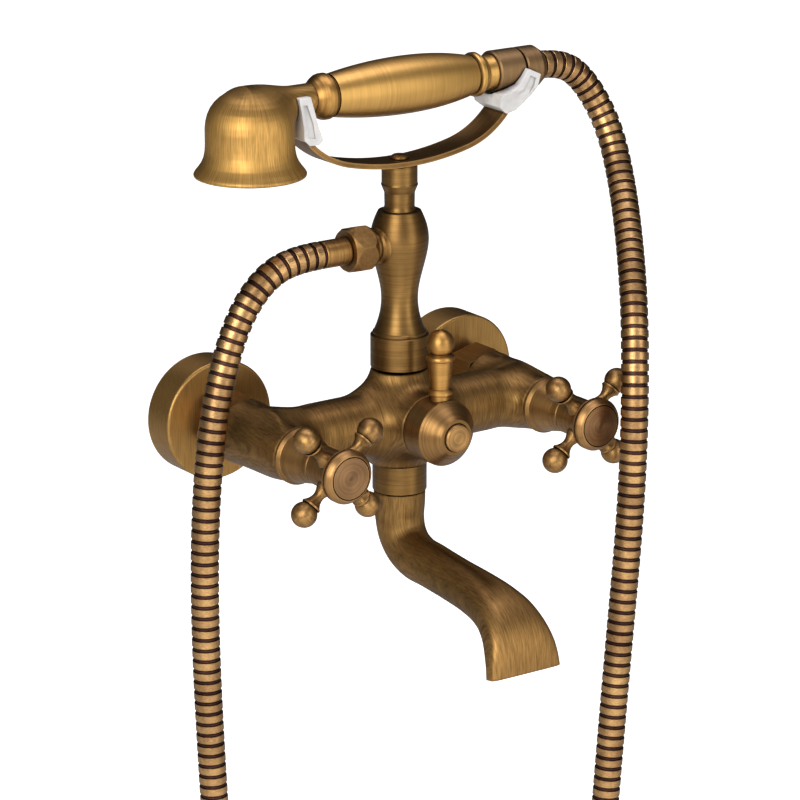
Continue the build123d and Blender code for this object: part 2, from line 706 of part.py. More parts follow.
def make_o_ring(z, tail_r):
    """Rubber ring that fills the groove of a tail."""
    with BuildPart() as ring:
        with BuildSketch(FRONT) as section:
            with Locations((tail_r - O_RING_R, z)):
                Circle(O_RING_R)
        revolve(section.sketch, axis=COLUMN_AXIS)
    return ring


def make_hose_outlet():
    """Nipple screwed into the bulb: flange, waist and the seat for the hose nut."""
    with BuildPart() as outlet:
        nipple_r = RISER_BORE_R + 1
        outline = [
            (HOSE_BORE_R, -5),
            (nipple_r, -5),
            (nipple_r, -11),
            (NIPPLE_FLANGE_R, -11),
            (NIPPLE_FLANGE_R, -14.4),
            (NIPPLE_FLANGE_R - 0.8, -15.2),
            (NIPPLE_FLANGE_R - 1.6, -15.6),
            (NIPPLE_FLANGE_R - 1.6, HOSE_NUT_RIGHT_X),
            (NIPPLE_R, HOSE_NUT_RIGHT_X),
            (NIPPLE_R, NIPPLE_END_X),
            (HOSE_BORE_R, NIPPLE_END_X),
        ]
        along_x(outline, OUTLET_Z)
        add(pieces["riser_column"], mode=Mode.SUBTRACT)
    return outlet


def make_washer_along_x(near_x, far_x, inner, outer, z):
    """Flat rubber washer on an axis along X."""
    with BuildPart() as washer:
        along_x(tube(near_x, far_x, inner, outer), z)
    return washer


def make_hose_nut():
    """Hexagon nut with turned corners that holds the hose on the nipple."""
    with BuildPart() as nut:
        with BuildSketch(Plane.YZ.offset(HOSE_NUT_LEFT_X)) as hexagon:
            with Locations((COLUMN_Y, OUTLET_Z)):
                RegularPolygon(HOSE_NUT_R, 6, rotation=45)
        extrude(hexagon.sketch, amount=HOSE_NUT_RIGHT_X - HOSE_NUT_LEFT_X)
        rounding = [
            (0, HOSE_NUT_LEFT_X),
            (HOSE_NUT_R - 2.2, HOSE_NUT_LEFT_X),
            (HOSE_NUT_R, HOSE_NUT_LEFT_X + 4.0),
            (HOSE_NUT_R, HOSE_NUT_RIGHT_X - 4.0),
            (HOSE_NUT_R - 2.2, HOSE_NUT_RIGHT_X),
            (0, HOSE_NUT_RIGHT_X),
        ]
        along_x(rounding, OUTLET_Z, Mode.INTERSECT)
        along_x(tube(OUTLET_SHOULDER_X, HOSE_NUT_RIGHT_X, 0, NIPPLE_R + FIT), OUTLET_Z, Mode.SUBTRACT)
        along_x(tube(HOSE_NUT_LEFT_X, OUTLET_SHOULDER_X, 0, SPIGOT_R + FIT), OUTLET_Z, Mode.SUBTRACT)
    return nut


def make_lower_ferrule():
    """Sleeve crimped on the hose, with a spigot that turns inside the nut."""
    with BuildPart() as ferrule:
        outline = [
            (HOSE_BORE_R, OUTLET_SEAT_X),
            (NIPPLE_R - 0.2, OUTLET_SEAT_X),
            (NIPPLE_R - 0.2, OUTLET_SHOULDER_X),
            (SPIGOT_R, OUTLET_SHOULDER_X),
            (SPIGOT_R, HOSE_NUT_LEFT_X),
            (FERRULE_R - 0.3, HOSE_NUT_LEFT_X),
            (FERRULE_R, HOSE_NUT_LEFT_X - 0.4),
            (FERRULE_R, FERRULE_END_X + 0.4),
            (FERRULE_R - 0.3, FERRULE_END_X),
            (HOSE_BORE_R, FERRULE_END_X),
        ]
        along_x(outline, OUTLET_Z)
    return ferrule


# -------------------------------------------------------------------- spout

def spout_sections(shrink):
    """Planes, half widths and half depths of the flare from round tube to flat mouth."""
    places = [
        (FLARE_START, RUN_DIRECTION, SPOUT_R, SPOUT_R),
        ((-157.5, -77.0), (-0.86, -0.5), SPOUT_R + 1.8, SPOUT_R - 0.8),
        ((-168.0, -85.5), (-0.5, -0.86), SPOUT_R + 5.4, SPOUT_R - 3.2),
        ((-172.2, -93.5), (-0.22, -0.97), SPOUT_R + 7.8, SPOUT_R - 5.6),
        ((-173.8, -102.6), (-0.15, -0.99), MOUTH_HALF_WIDTH, MOUTH_HALF_DEPTH),
    ]
    sections = []
    for centre, direction, half_width, half_depth in places:
        plane = Plane(origin=(0, *centre), x_dir=(1, 0, 0), z_dir=(0, *direction))
        sections.append((plane, half_width - shrink, half_depth - shrink))
    return sections


def spout_run(radius, mode=Mode.ADD):
    """Sweep the round run of the spout, in the current part."""
    with BuildLine(Plane.YZ) as path:
        Line((COLUMN_Y, SPOUT_TOP_Z), (COLUMN_Y, BEND_TOP_Z))
        JernArc((COLUMN_Y, BEND_TOP_Z), (0, -1), BEND_RADIUS, -BEND_TURN)
        Line(RUN_START, FLARE_START)
    with BuildSketch(Plane(origin=(0, COLUMN_Y, SPOUT_TOP_Z), x_dir=(1, 0, 0), z_dir=(0, 0, -1))) as circle:
        Circle(radius)
    sweep(circle.sketch, path=path.line, mode=mode)


def spout_flare(shrink, mode=Mode.ADD):
    """Loft the flare of the spout, in the current part."""
    faces = []
    for plane, half_width, half_depth in spout_sections(shrink):
        with BuildSketch(plane) as section:
            Ellipse(half_width, half_depth)
        faces.append(section.sketch)
    loft(faces, mode=mode)


def make_spout():
    """Bent tube that flares into a flat mouth, hollow from tail to lip."""
    with BuildPart() as spout:
        spout_run(SPOUT_R)
        spout_flare(0)
        along_z([(0, SPOUT_TAIL_TOP_Z), (SPOUT_TAIL_R, SPOUT_TAIL_TOP_Z), (SPOUT_TAIL_R, SPOUT_TOP_Z),
                 (SPOUT_TOP_R, SPOUT_TOP_Z), (SPOUT_R, BEND_TOP_Z), (0, BEND_TOP_Z)])
        spout_run(SPOUT_R - SPOUT_WALL, Mode.SUBTRACT)
        spout_flare(SPOUT_WALL, Mode.SUBTRACT)
        along_z(tube(SPOUT_TOP_Z - SPOUT_WALL, SPOUT_TOP_Z, 0, SPOUT_R - 1))
        along_z(tube(SPOUT_TOP_Z - SPOUT_WALL, SPOUT_TAIL_TOP_Z, 0, WATERWAY_R), Mode.SUBTRACT)
        ring_groove(SPOUT_RING_Z, SPOUT_TAIL_R)
    return spout


def make_spout_collar():
    """Collar nut that holds the swivelling spout under the casting."""
    with BuildPart() as collar:
        along_z(tube(SPOUT_COLLAR_BOTTOM_Z, BARREL_BOTTOM_Z, SPOUT_TAIL_R + FIT, SPOUT_COLLAR_R))
        outer = collar.edges().filter_by(GeomType.CIRCLE)
        chamfer(outer.sort_by(SortBy.RADIUS)[-2:], 0.4)
    return collar


def make_flow_straightener():
    """Insert just inside the spout's lip, with a row of slots."""
    with BuildPart() as straightener:
        lip, half_width, half_depth = spout_sections(0)[-1]
        recess = lip.offset(-STRAIGHTENER_RECESS - STRAIGHTENER_THICKNESS)
        with BuildSketch(recess) as plate:
            Ellipse(half_width, half_depth)
            with GridLocations(4.0, 1, 7, 1):
                Rectangle(1.6, 3.2, mode=Mode.SUBTRACT)
        extrude(plate.sketch, amount=STRAIGHTENER_THICKNESS)
        spout_flare(SPOUT_WALL + FIT, Mode.INTERSECT)
    return straightener


# ------------------------------------------------------------------- cradle

def make_cradle_post():
    """Post that turns in the top of the riser and carries the cradle."""
    with BuildPart() as post:
        outline = [
            (0, PIN_BOTTOM_Z + GAP),
            (PIN_R, PIN_BOTTOM_Z + GAP),
            (PIN_R, RISER_TOP_Z + GAP),
            (POST_R + 0.4, RISER_TOP_Z + GAP),
            (POST_R - 0.1, RISER_TOP_Z + 2.4),
            (POST_R, POST_STEP_Z - 3.6),
            (POST_CAP_R, POST_STEP_Z - 0.4),
            (POST_CAP_R + 0.3, POST_STEP_Z + 0.4),
            (POST_CAP_R, POST_STEP_Z + 1.2),
            (POST_CAP_R, CRADLE_Z - 0.5),
            (POST_CAP_R - 0.5, CRADLE_Z),
            (0, CRADLE_Z),
        ]
        along_z(outline)
        along_z(tube(CRADLE_Z - SCREW_LENGTH, CRADLE_Z, 0, SCREW_R), Mode.SUBTRACT)
    return post


def make_cradle_bar():
    """Curved strip under the hand shower, its ends bent up into the fork pads."""
    with BuildPart() as bar:
        middle_z = CRADLE_Z + STRIP_THICKNESS / 2
        with BuildLine(FRONT) as path:
            middle = JernArc((0, middle_z), (1, 0), STRIP_MIDDLE_RADIUS, STRIP_MIDDLE_TURN)
            JernArc(middle @ 1, middle % 1, STRIP_END_RADIUS, STRIP_END_TURN)
        with BuildSketch(Plane.YZ) as section:
            with Locations((COLUMN_Y, middle_z)):
                Rectangle(STRIP_WIDTH, STRIP_THICKNESS)
        sweep(section.sketch, path=path.line)
        mirror(about=Plane.YZ)
        along_z(tube(CRADLE_Z - 1, CRADLE_Z + STRIP_THICKNESS + 1, 0, SCREW_R), Mode.SUBTRACT)
    return bar


def make_fork_pad(side_view, groove, seat_r, foot_half_width):
    """Nylon fork on an end of the bar: a side view cut to a U that a round neck drops into."""
    half_width = seat_r + PAD_CLEARANCE + PAD_WALL
    low = min(z for _, z in side_view)
    shoulder = HANDSET_Z - 0.75 * seat_r
    u_outline = [(-foot_half_width, low), (-half_width, shoulder), (-half_width, HANDSET_Z + 20),
                 (half_width, HANDSET_Z + 20), (half_width, shoulder), (foot_half_width, low)]
    with BuildPart() as pad:
        with BuildSketch(FRONT) as side:
            Polygon(*side_view, align=None)
        extrude(side.sketch, amount=half_width, both=True)
        vertical = pad.edges().filter_by(Axis.Y)
        fillet(vertical, 0.6)
        with BuildSketch(Plane.YZ) as front:
            with Locations((COLUMN_Y, 0)):
                Polygon(*u_outline, align=None)
        extrude(front.sketch, amount=2 * SLEEVE_END_X, both=True, mode=Mode.INTERSECT)
        cut_fork_slot(seat_r + PAD_CLEARANCE)
        for side_y in (half_width, -half_width):
            with BuildSketch(FRONT.offset(side_y)) as channel:
                Polygon(*groove, align=None)
            extrude(channel.sketch, amount=PAD_GROOVE, both=True, mode=Mode.SUBTRACT)
        add(pieces["cradle_bar"], mode=Mode.SUBTRACT)
    return pad


def cut_fork_slot(radius):
    """Cut the open seat of a round neck, in the current part."""
    with BuildSketch(Plane.YZ) as slot:
        with Locations((COLUMN_Y, HANDSET_Z)):
            Circle(radius)
        with Locations((COLUMN_Y, HANDSET_Z + radius)):
            Rectangle(2 * radius, 2 * radius)
    extrude(slot.sketch, amount=2 * SLEEVE_END_X, both=True, mode=Mode.SUBTRACT)


def make_cradle_screw():
    """Countersunk screw through the bar into the post."""
    with BuildPart() as screw:
        outline = [
            (0, CRADLE_Z - SCREW_LENGTH),
            (SCREW_R, CRADLE_Z - SCREW_LENGTH),
            (SCREW_R, CRADLE_Z + STRIP_THICKNESS + 0.4),
            (SCREW_HEAD_R, CRADLE_Z + STRIP_THICKNESS + 0.4),
            (SCREW_HEAD_R, CRADLE_Z + STRIP_THICKNESS + 1.4),
            (SCREW_HEAD_R - 1.2, CRADLE_Z + STRIP_THICKNESS + 2.2),
            (0, CRADLE_Z + STRIP_THICKNESS + 2.2),
        ]
        along_z(outline)
        with BuildSketch(Plane.XY.offset(CRADLE_Z + STRIP_THICKNESS + 2.2)) as slot:
            with Locations((0, COLUMN_Y)):
                Rectangle(2 * SCREW_HEAD_R, 1.2)
        extrude(slot.sketch, amount=-0.9, mode=Mode.SUBTRACT)
    return screw


# -------------------------------------------------------------- hand shower

def make_shower_head():
    """Domed bell with a flared rim and a neck, hollow from below."""
    with BuildPart() as head:
        with BuildSketch(FRONT) as outline:
            with BuildLine():
                bell_outline(BELL_R, BELL_TOP_Z, BELL_RIM_R)
            make_face()
        revolve(outline.sketch, axis=BELL_AXIS)
        along_x(tube(BELL_X, NECK_END_X, 0, NECK_R), HANDSET_Z)
        with BuildSketch(FRONT) as hollow:
            with BuildLine():
                bell_outline(BELL_R - BELL_WALL, BELL_TOP_Z - BELL_WALL, BELL_RIM_R - 3)
            make_face()
        revolve(hollow.sketch, axis=BELL_AXIS, mode=Mode.SUBTRACT)
        plate_seat = [(BELL_X + radius, z) for radius, z in
                      tube(BELL_RIM_Z, PLATE_TOP_Z + GASKET_THICKNESS, 0, PLATE_R + FIT)]
        turned(plate_seat, FRONT, BELL_AXIS, Mode.SUBTRACT)
        along_x(tube(BELL_X, NECK_END_X, 0, TUBE_R + FIT), HANDSET_Z, Mode.SUBTRACT)
    return head


def bell_outline(side_r, top_z, rim_r):
    """Half section of the bell, from the rim up to the dome, in the current line."""
    rim_z = BELL_RIM_Z
    shoulder_z = top_z - 0.85 * side_r
    dome = 0.7071
    Polyline((BELL_X, top_z), (BELL_X, rim_z), (BELL_X + rim_r - 0.4, rim_z), (BELL_X + rim_r, rim_z + 0.5),
             (BELL_X + rim_r, rim_z + 1.4), (BELL_X + rim_r - 0.5, rim_z + 2.1))
    Spline((BELL_X + rim_r - 0.5, rim_z + 2.1), (BELL_X + side_r + 1.2, rim_z + 6.6),
           (BELL_X + side_r, rim_z + 12), tangents=[(-1, 0.35), (0, 1)])
    Line((BELL_X + side_r, rim_z + 12), (BELL_X + side_r, shoulder_z))
    Spline((BELL_X + side_r, shoulder_z), (BELL_X + dome * side_r, shoulder_z + dome * (top_z - shoulder_z)),
           (BELL_X, top_z), tangents=[(0, 1), (-1, 0)])


def make_spray_plate():
    """Drilled plate just inside the bell's rim."""
    with BuildPart() as plate:
        with BuildSketch(Plane.XY.offset(PLATE_TOP_Z - PLATE_THICKNESS)) as disc:
            with Locations((BELL_X, COLUMN_Y)):
                Circle(PLATE_R)
                for ring_r, holes in SPRAY_RINGS:
                    with PolarLocations(ring_r, holes):
                        Circle(SPRAY_HOLE_R, mode=Mode.SUBTRACT)
        extrude(disc.sketch, amount=PLATE_THICKNESS)
    return plate


def make_spray_gasket():
    """Flat rubber ring between the spray plate and the bell."""
    with BuildPart() as gasket:
        with BuildSketch(Plane.XY.offset(PLATE_TOP_Z)) as ring:
            with Locations((BELL_X, COLUMN_Y)):
                Circle(PLATE_R)
                Circle(PLATE_R - 2.6, mode=Mode.SUBTRACT)
        extrude(ring.sketch, amount=GASKET_THICKNESS)
    return gasket


def make_waterway_tube():
    """Thin tube that carries the water through the grip to the bell."""
    with BuildPart() as waterway:
        along_x(tube(TUBE_START_X, GRIP_END_X + 4, TUBE_R - 1, TUBE_R), HANDSET_Z)
    return waterway


def make_neck_ring():
    """Rounded bead between the neck and the grip."""
    with BuildPart() as ring:
        outline = [
            (TUBE_R, NECK_END_X),
            (NECK_R + 0.1, NECK_END_X),
            (NECK_R + 1.6, NECK_END_X + 1.2),
            (NECK_RING_R - 1.2, NECK_END_X + 3.4),
            (NECK_RING_R - 0.3, NECK_END_X + 5.0),
            (NECK_RING_R, NECK_END_X + 6.6),
            (NECK_RING_R, NECK_END_X + 8.6),
            (NECK_RING_R - 0.6, NECK_END_X + 9.8),
            (GRIP_START_R - 0.5, GRIP_START_X - 0.8),
            (GRIP_START_R - 0.7, GRIP_START_X),
            (TUBE_R, GRIP_START_X),
        ]
        along_x(outline, HANDSET_Z)
    return ring


def make_grip():
    """Barrel-shaped brass grip."""
    with BuildPart() as grip:
        with BuildSketch(FRONT) as outline:
            axis_z = HANDSET_Z
            with BuildLine():
                Polyline((GRIP_END_X, axis_z + GRIP_END_R), (GRIP_END_X, axis_z + TUBE_R),
                         (GRIP_START_X, axis_z + TUBE_R), (GRIP_START_X, axis_z + GRIP_START_R))
                Spline((GRIP_START_X, axis_z + GRIP_START_R), (-24, axis_z + 13.0),
                       (GRIP_MIDDLE_X, axis_z + GRIP_R), (24, axis_z + 13.1),
                       (GRIP_END_X, axis_z + GRIP_END_R))
            make_face()
        revolve(outline.sketch, axis=HANDSET_AXIS)
    return grip


def make_grip_end():
    """Bead and throat at the end of the grip, threaded for the hose nut."""
    with BuildPart() as end:
        outline = [
            (TUBE_R, GRIP_END_X),
            (END_RING_R - 2, GRIP_END_X),
            (END_RING_R - 2, GRIP_END_X + 1.2),
            (END_RING_R - 0.4, GRIP_END_X + 1.6),
            (END_RING_R, GRIP_END_X + 2.4),
            (END_RING_R, GRIP_END_X + 4.0),
            (END_RING_R - 0.5, GRIP_END_X + 4.8),
            (THROAT_R + 0.4, GRIP_END_X + 5.6),
            (THROAT_R - 0.4, GRIP_END_X + 8.0),
            (THROAT_R, NUT_START_X - 0.4),
            (THREAD_R, NUT_START_X - 0.4),
            (THREAD_R, THREAD_END_X),
            (HOSE_BORE_R, THREAD_END_X),
            (HOSE_BORE_R, GRIP_END_X + 4),
            (TUBE_R, GRIP_END_X + 4),
        ]
        along_x(outline, HANDSET_Z)
    return end


def make_swivel_nut():
    """Round nut that holds the hose on the hand shower."""
    with BuildPart() as nut:
        outline = [
            (THREAD_R + FIT, NUT_START_X),
            (SWIVEL_R - 0.6, NUT_START_X),
            (SWIVEL_R, NUT_START_X + 0.8),
            (SWIVEL_R, NUT_END_X - 0.6),
            (SWIVEL_R - 0.6, NUT_END_X),
            (SWIVEL_SPIGOT_R + FIT, NUT_END_X),
            (SWIVEL_SPIGOT_R + FIT, SWIVEL_FLANGE_X + 1.2),
            (THREAD_R + FIT, SWIVEL_FLANGE_X + 1.2),
        ]
        along_x(outline, HANDSET_Z)
    return nut


def make_upper_ferrule():
    """Sleeve on the hose's upper end, with a flanged spigot inside the nut."""
    with BuildPart() as ferrule:
        outline = [
            (HOSE_BORE_R, SWIVEL_FLANGE_X),
            (THREAD_R - 0.2, SWIVEL_FLANGE_X),
            (THREAD_R - 0.2, SWIVEL_FLANGE_X + 1.2),
            (SWIVEL_SPIGOT_R, SWIVEL_FLANGE_X + 1.2),
            (SWIVEL_SPIGOT_R, SLEEVE_START_X),
            (SWIVEL_R - 0.6, SLEEVE_START_X),
            (SWIVEL_R, SLEEVE_START_X + 0.6),
            (SWIVEL_R, SLEEVE_END_X - 3.6),
            (SWIVEL_R - 2.4, SLEEVE_END_X),
            (HOSE_BORE_R, SLEEVE_END_X),
        ]
        along_x(outline, HANDSET_Z)
    return ferrule


# --------------------------------------------------------------------- hose

def hose_radii(route):
    """Largest tangent arc at each corner of a route, for its shorter run."""
    points = [Vector(*point) for point in route]
    radii = []
    for before, corner, after in zip(points, points[1:], points[2:]):
        run_in = corner - before
        run_out = after - corner
        half_turn = radians(run_in.get_angle(run_out) / 2)
        radii.append(HOSE_TURN_SHARE * min(run_in.length, run_out.length) / tan(half_turn))
    return radii


def make_hose(name, route):
    """Metal sheath of the flexible hose: a thin plain tube of straight runs and tangent arcs."""
    radii = hose_radii(route)
    print(name, "radii", [round(radius) for radius in radii])
    with BuildPart() as hose:
        with BuildLine() as path:
            FilletPolyline(*route, radius=radii)
        run = path.wire()
        with BuildSketch(Plane(origin=run @ 0, z_dir=run % 0)) as section:
            Circle(HOSE_D / 2)
            Circle(HOSE_D / 2 - HOSE_WALL, mode=Mode.SUBTRACT)
        sweep(section.sketch, path=run)
    plain_volume = run.length * pi * HOSE_WALL * (HOSE_D - HOSE_WALL)
    print(name, "length", round(run.length, 1), "volume share", round(hose.part.volume / plain_volume, 4))
    return hose


# ----------------------------------------------------------------- assembly

def make_all():
    """Build every piece of the faucet."""
    for side, x in INLETS.items():
        save(f"{side}_wall_flange", make_wall_flange(x))
        save(f"{side}_wall_union", make_wall_union(x))
    save("union_nuts", make_union_nuts())
    save("union_washers", make_union_washers())
    save("mixer_body", make_mixer_body())
    moving_back_y = CARTRIDGE_BACK_Y - DISC_THICKNESS - FIT
    for side, x in VALVES.items():
        save(f"{side}_bonnet", make_bonnet(x))
        save(f"{side}_cartridge", make_cartridge(x))
        save(f"{side}_fixed_disc", make_ceramic_disc(x, CARTRIDGE_BACK_Y, DISC_R))
        save(f"{side}_moving_disc", make_ceramic_disc(x, moving_back_y, DISC_R - GAP))
        save(f"{side}_spindle", make_valve_spindle(x, moving_back_y - DISC_THICKNESS))
        save(f"{side}_handle_cross", make_handle_hub(x))
        save(f"{side}_ball_tips", make_ball_tips(x))
        save(f"{side}_index_cap", make_index_cap(x))
        save(f"{side}_handle_screw", make_axial_screw(x, 0, SPINDLE_END_Y, 2.6, 2.5))
    save("diverter_cartridge", make_diverter_cartridge())
    save("diverter_spindle", make_diverter_spindle())
    save("diverter_knob", make_diverter_knob())
    save("diverter_lever", make_diverter_lever())
    save("diverter_screw", make_axial_screw(0, DIVERTER_Z, RECESS_FLOOR_Y, 2.6, 2.5))
    save("diverter_button", make_diverter_button())
    save("riser_collar", make_riser_collar())
    save("riser_column", make_riser_column())
    save("riser_o_ring", make_o_ring(RISER_RING_Z, RISER_TAIL_R))
    save("hose_outlet", make_hose_outlet())
    outlet_washer = make_washer_along_x(OUTLET_SEAT_X, NIPPLE_END_X, HOSE_BORE_R, NIPPLE_R - 0.2, OUTLET_Z)
    save("outlet_washer", outlet_washer)
    save("outlet_nut", make_hose_nut())
    save("hose_lower_ferrule", make_lower_ferrule())
    save("spout_collar", make_spout_collar())
    save("spout_o_ring", make_o_ring(SPOUT_RING_Z, SPOUT_TAIL_R))
    save("spout", make_spout())
    save("flow_straightener", make_flow_straightener())
    save("cradle_post", make_cradle_post())
    save("cradle_bar", make_cradle_bar())
    save("cradle_screw", make_cradle_screw())
    save("neck_fork_pad", make_fork_pad(NECK_PAD_SIDE, NECK_PAD_GROOVE, NECK_R, PAD_FOOT_HALF_WIDTH))
    save("nut_fork_pad", make_fork_pad(NUT_PAD_SIDE, NUT_PAD_GROOVE, SWIVEL_R, PAD_FOOT_HALF_WIDTH))
    save("shower_head", make_shower_head())
    save("spray_plate", make_spray_plate())
    save("spray_gasket", make_spray_gasket())
    save("waterway_tube", make_waterway_tube())
    save("neck_ring", make_neck_ring())
    save("grip", make_grip())
    save("grip_end", make_grip_end())
    save("swivel_nut", make_swivel_nut())
    swivel_washer = make_washer_along_x(THREAD_END_X, SWIVEL_FLANGE_X, HOSE_BORE_R, THREAD_R, HANDSET_Z)
    save("swivel_washer", swivel_washer)
    save("hose_upper_ferrule", make_upper_ferrule())
    save("hose_lower_run", make_hose("hose_lower_run", HOSE_LOWER_ROUTE))
    save("hose_upper_run", make_hose("hose_upper_run", HOSE_UPPER_ROUTE))


make_all()
os.makedirs("parts", exist_ok=True)
for piece_name, piece in pieces.items():
    export_step(piece, f"parts/{piece_name}.step")
print(len(pieces), "nodes written")
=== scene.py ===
import json
import math
import bpy
import numpy as np
from mathutils import Matrix, Vector


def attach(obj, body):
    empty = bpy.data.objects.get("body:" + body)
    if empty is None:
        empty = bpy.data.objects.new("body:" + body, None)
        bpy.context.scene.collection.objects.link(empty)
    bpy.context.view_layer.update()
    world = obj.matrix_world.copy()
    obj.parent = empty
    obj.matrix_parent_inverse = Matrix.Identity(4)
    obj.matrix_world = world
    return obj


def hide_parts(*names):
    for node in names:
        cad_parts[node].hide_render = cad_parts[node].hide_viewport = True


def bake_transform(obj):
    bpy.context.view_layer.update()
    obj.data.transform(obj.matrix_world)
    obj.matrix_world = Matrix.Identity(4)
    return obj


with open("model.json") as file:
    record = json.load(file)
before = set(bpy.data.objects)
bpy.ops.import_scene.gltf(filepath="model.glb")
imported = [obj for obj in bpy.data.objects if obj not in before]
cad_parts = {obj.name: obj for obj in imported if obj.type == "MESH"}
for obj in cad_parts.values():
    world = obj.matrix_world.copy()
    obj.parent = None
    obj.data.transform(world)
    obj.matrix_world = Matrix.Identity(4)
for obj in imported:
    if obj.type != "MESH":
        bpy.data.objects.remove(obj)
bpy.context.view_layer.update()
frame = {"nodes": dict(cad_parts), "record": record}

SCENE = bpy.context.scene

MM = 0.001

# Places shared by the shapes and the finishes, in millimetres.
COLUMN_Y = -68.5
HANDSET_Z = 170.3
OUTLET_Z = 91.5
LEVER_Y = -103.6
DIVERTER_Z = 2.5
BELL_X = -87.0
VALVE_X = 75


def metres(place):
    """A place in millimetres, as Blender has it."""
    return tuple(MM * c for c in place)


# ------------------------------------------------------------------ camera

CAMERA_PLACE = (-1.0678, -1.6024, 0.5708)
CAMERA_RIGHT = (0.8206, -0.5714, 0.0)
CAMERA_BACK = (-0.5473, -0.7860, 0.2875)


def add_camera():
    """A long lens from the left and a little above."""
    data = bpy.data.cameras.new("camera")
    data.sensor_width = 36.0
    data.lens = 175.6
    data.clip_start = 0.05
    data.clip_end = 20.0
    camera = bpy.data.objects.new("camera", data)
    SCENE.collection.objects.link(camera)
    right, back = Vector(CAMERA_RIGHT), Vector(CAMERA_BACK)
    turn = Matrix((right, back.cross(right), back)).transposed().to_4x4()
    turn.translation = Vector(CAMERA_PLACE)
    camera.matrix_world = turn
    SCENE.camera = camera


# ---------------------------------------------------------------- materials

class Nodes:
    """Short calls that add shader nodes to one tree."""

    def __init__(self, tree):
        self.tree = tree

    def add(self, kind, inputs=(), **settings):
        node = self.tree.nodes.new(kind)
        for name, value in settings.items():
            setattr(node, name, value)
        for key, value in dict(inputs).items():
            if isinstance(value, bpy.types.NodeSocket):
                self.tree.links.new(value, node.inputs[key])
            else:
                node.inputs[key].default_value = value
        return node

    def math(self, operation, a, b=0.0, c=0.0):
        return self.add("ShaderNodeMath", {0: a, 1: b, 2: c}, operation=operation).outputs[0]

    def vector(self, operation, a, b):
        node = self.add("ShaderNodeVectorMath", {0: a, 1: b}, operation=operation)
        return node.outputs["Value" if operation in ("DOT_PRODUCT", "LENGTH") else "Vector"]

    def combine(self, vector):
        """One vector out of three numbers or sockets."""
        return self.add("ShaderNodeCombineXYZ", dict(enumerate(vector))).outputs[0]

    def noise(self, vector, scale, detail=2.0, roughness=0.5):
        node = self.add("ShaderNodeTexNoise", {"Vector": vector, "Scale": scale, "Detail": detail,
                                               "Roughness": roughness})
        return node.outputs["Fac"]

    def ramp(self, value, *stops):
        node = self.add("ShaderNodeValToRGB", {"Fac": value})
        elements = node.color_ramp.elements
        while len(elements) < len(stops):
            elements.new(0.5)
        for element, (position, colour) in zip(elements, stops):
            element.position = position
            grey = isinstance(colour, (int, float))
            element.color = (colour, colour, colour, 1) if grey else (*colour, 1)
        return node.outputs["Color"]

    def mix(self, factor, a, b, blend="MIX"):
        node = self.add("ShaderNodeMix", data_type="RGBA", blend_type=blend)
        for key, value in ((0, factor), (6, a), (7, b)):
            if isinstance(value, bpy.types.NodeSocket):
                self.tree.links.new(value, node.inputs[key])
            else:
                node.inputs[key].default_value = (*value, 1) if isinstance(value, tuple) else value
        return node.outputs[2]

    def occlusion(self, distance, samples, inside=False):
        """Near 1 on open faces; lower in joints, or on edges when it looks inside."""
        node = self.add("ShaderNodeAmbientOcclusion", {"Distance": distance}, samples=samples, inside=inside)
        return node.outputs["AO"]

    def painted_shade_turned_away(self, colour, least):
        """Colour darkened with painted shade, down to the least share where the face turns from the eye."""
        facing = self.add("ShaderNodeLayerWeight", {"Blend": 0.5}).outputs["Facing"]
        return self.mix(1.0, colour, self.ramp(facing, (0.35, 1.06), (0.92, least)), "MULTIPLY")


def new_material(name):
    """A material with an empty tree, and the calls that add nodes to it."""
    material = bpy.data.materials.new(name)
    material.use_nodes = True
    tree = material.node_tree
    tree.nodes.clear()
    return material, Nodes(tree)


def finish_material(nodes, shader):
    """Send a shader to the material's output."""
    output = nodes.add("ShaderNodeOutputMaterial")
    nodes.tree.links.new(shader.outputs[0], output.inputs["Surface"])


# Near black brown for the painted shade and dirt in joints and crevices.
DARK = (0.022, 0.011, 0.006)
GOLDEN = (0.66, 0.388, 0.112)
CLOUD_SCALE = 24.0
EDGE_REACH = 0.0012
SEAM_REACH = 0.0022
EDGE_GAIN = 1.45
SCRATCH_DEPTH = 0.00004


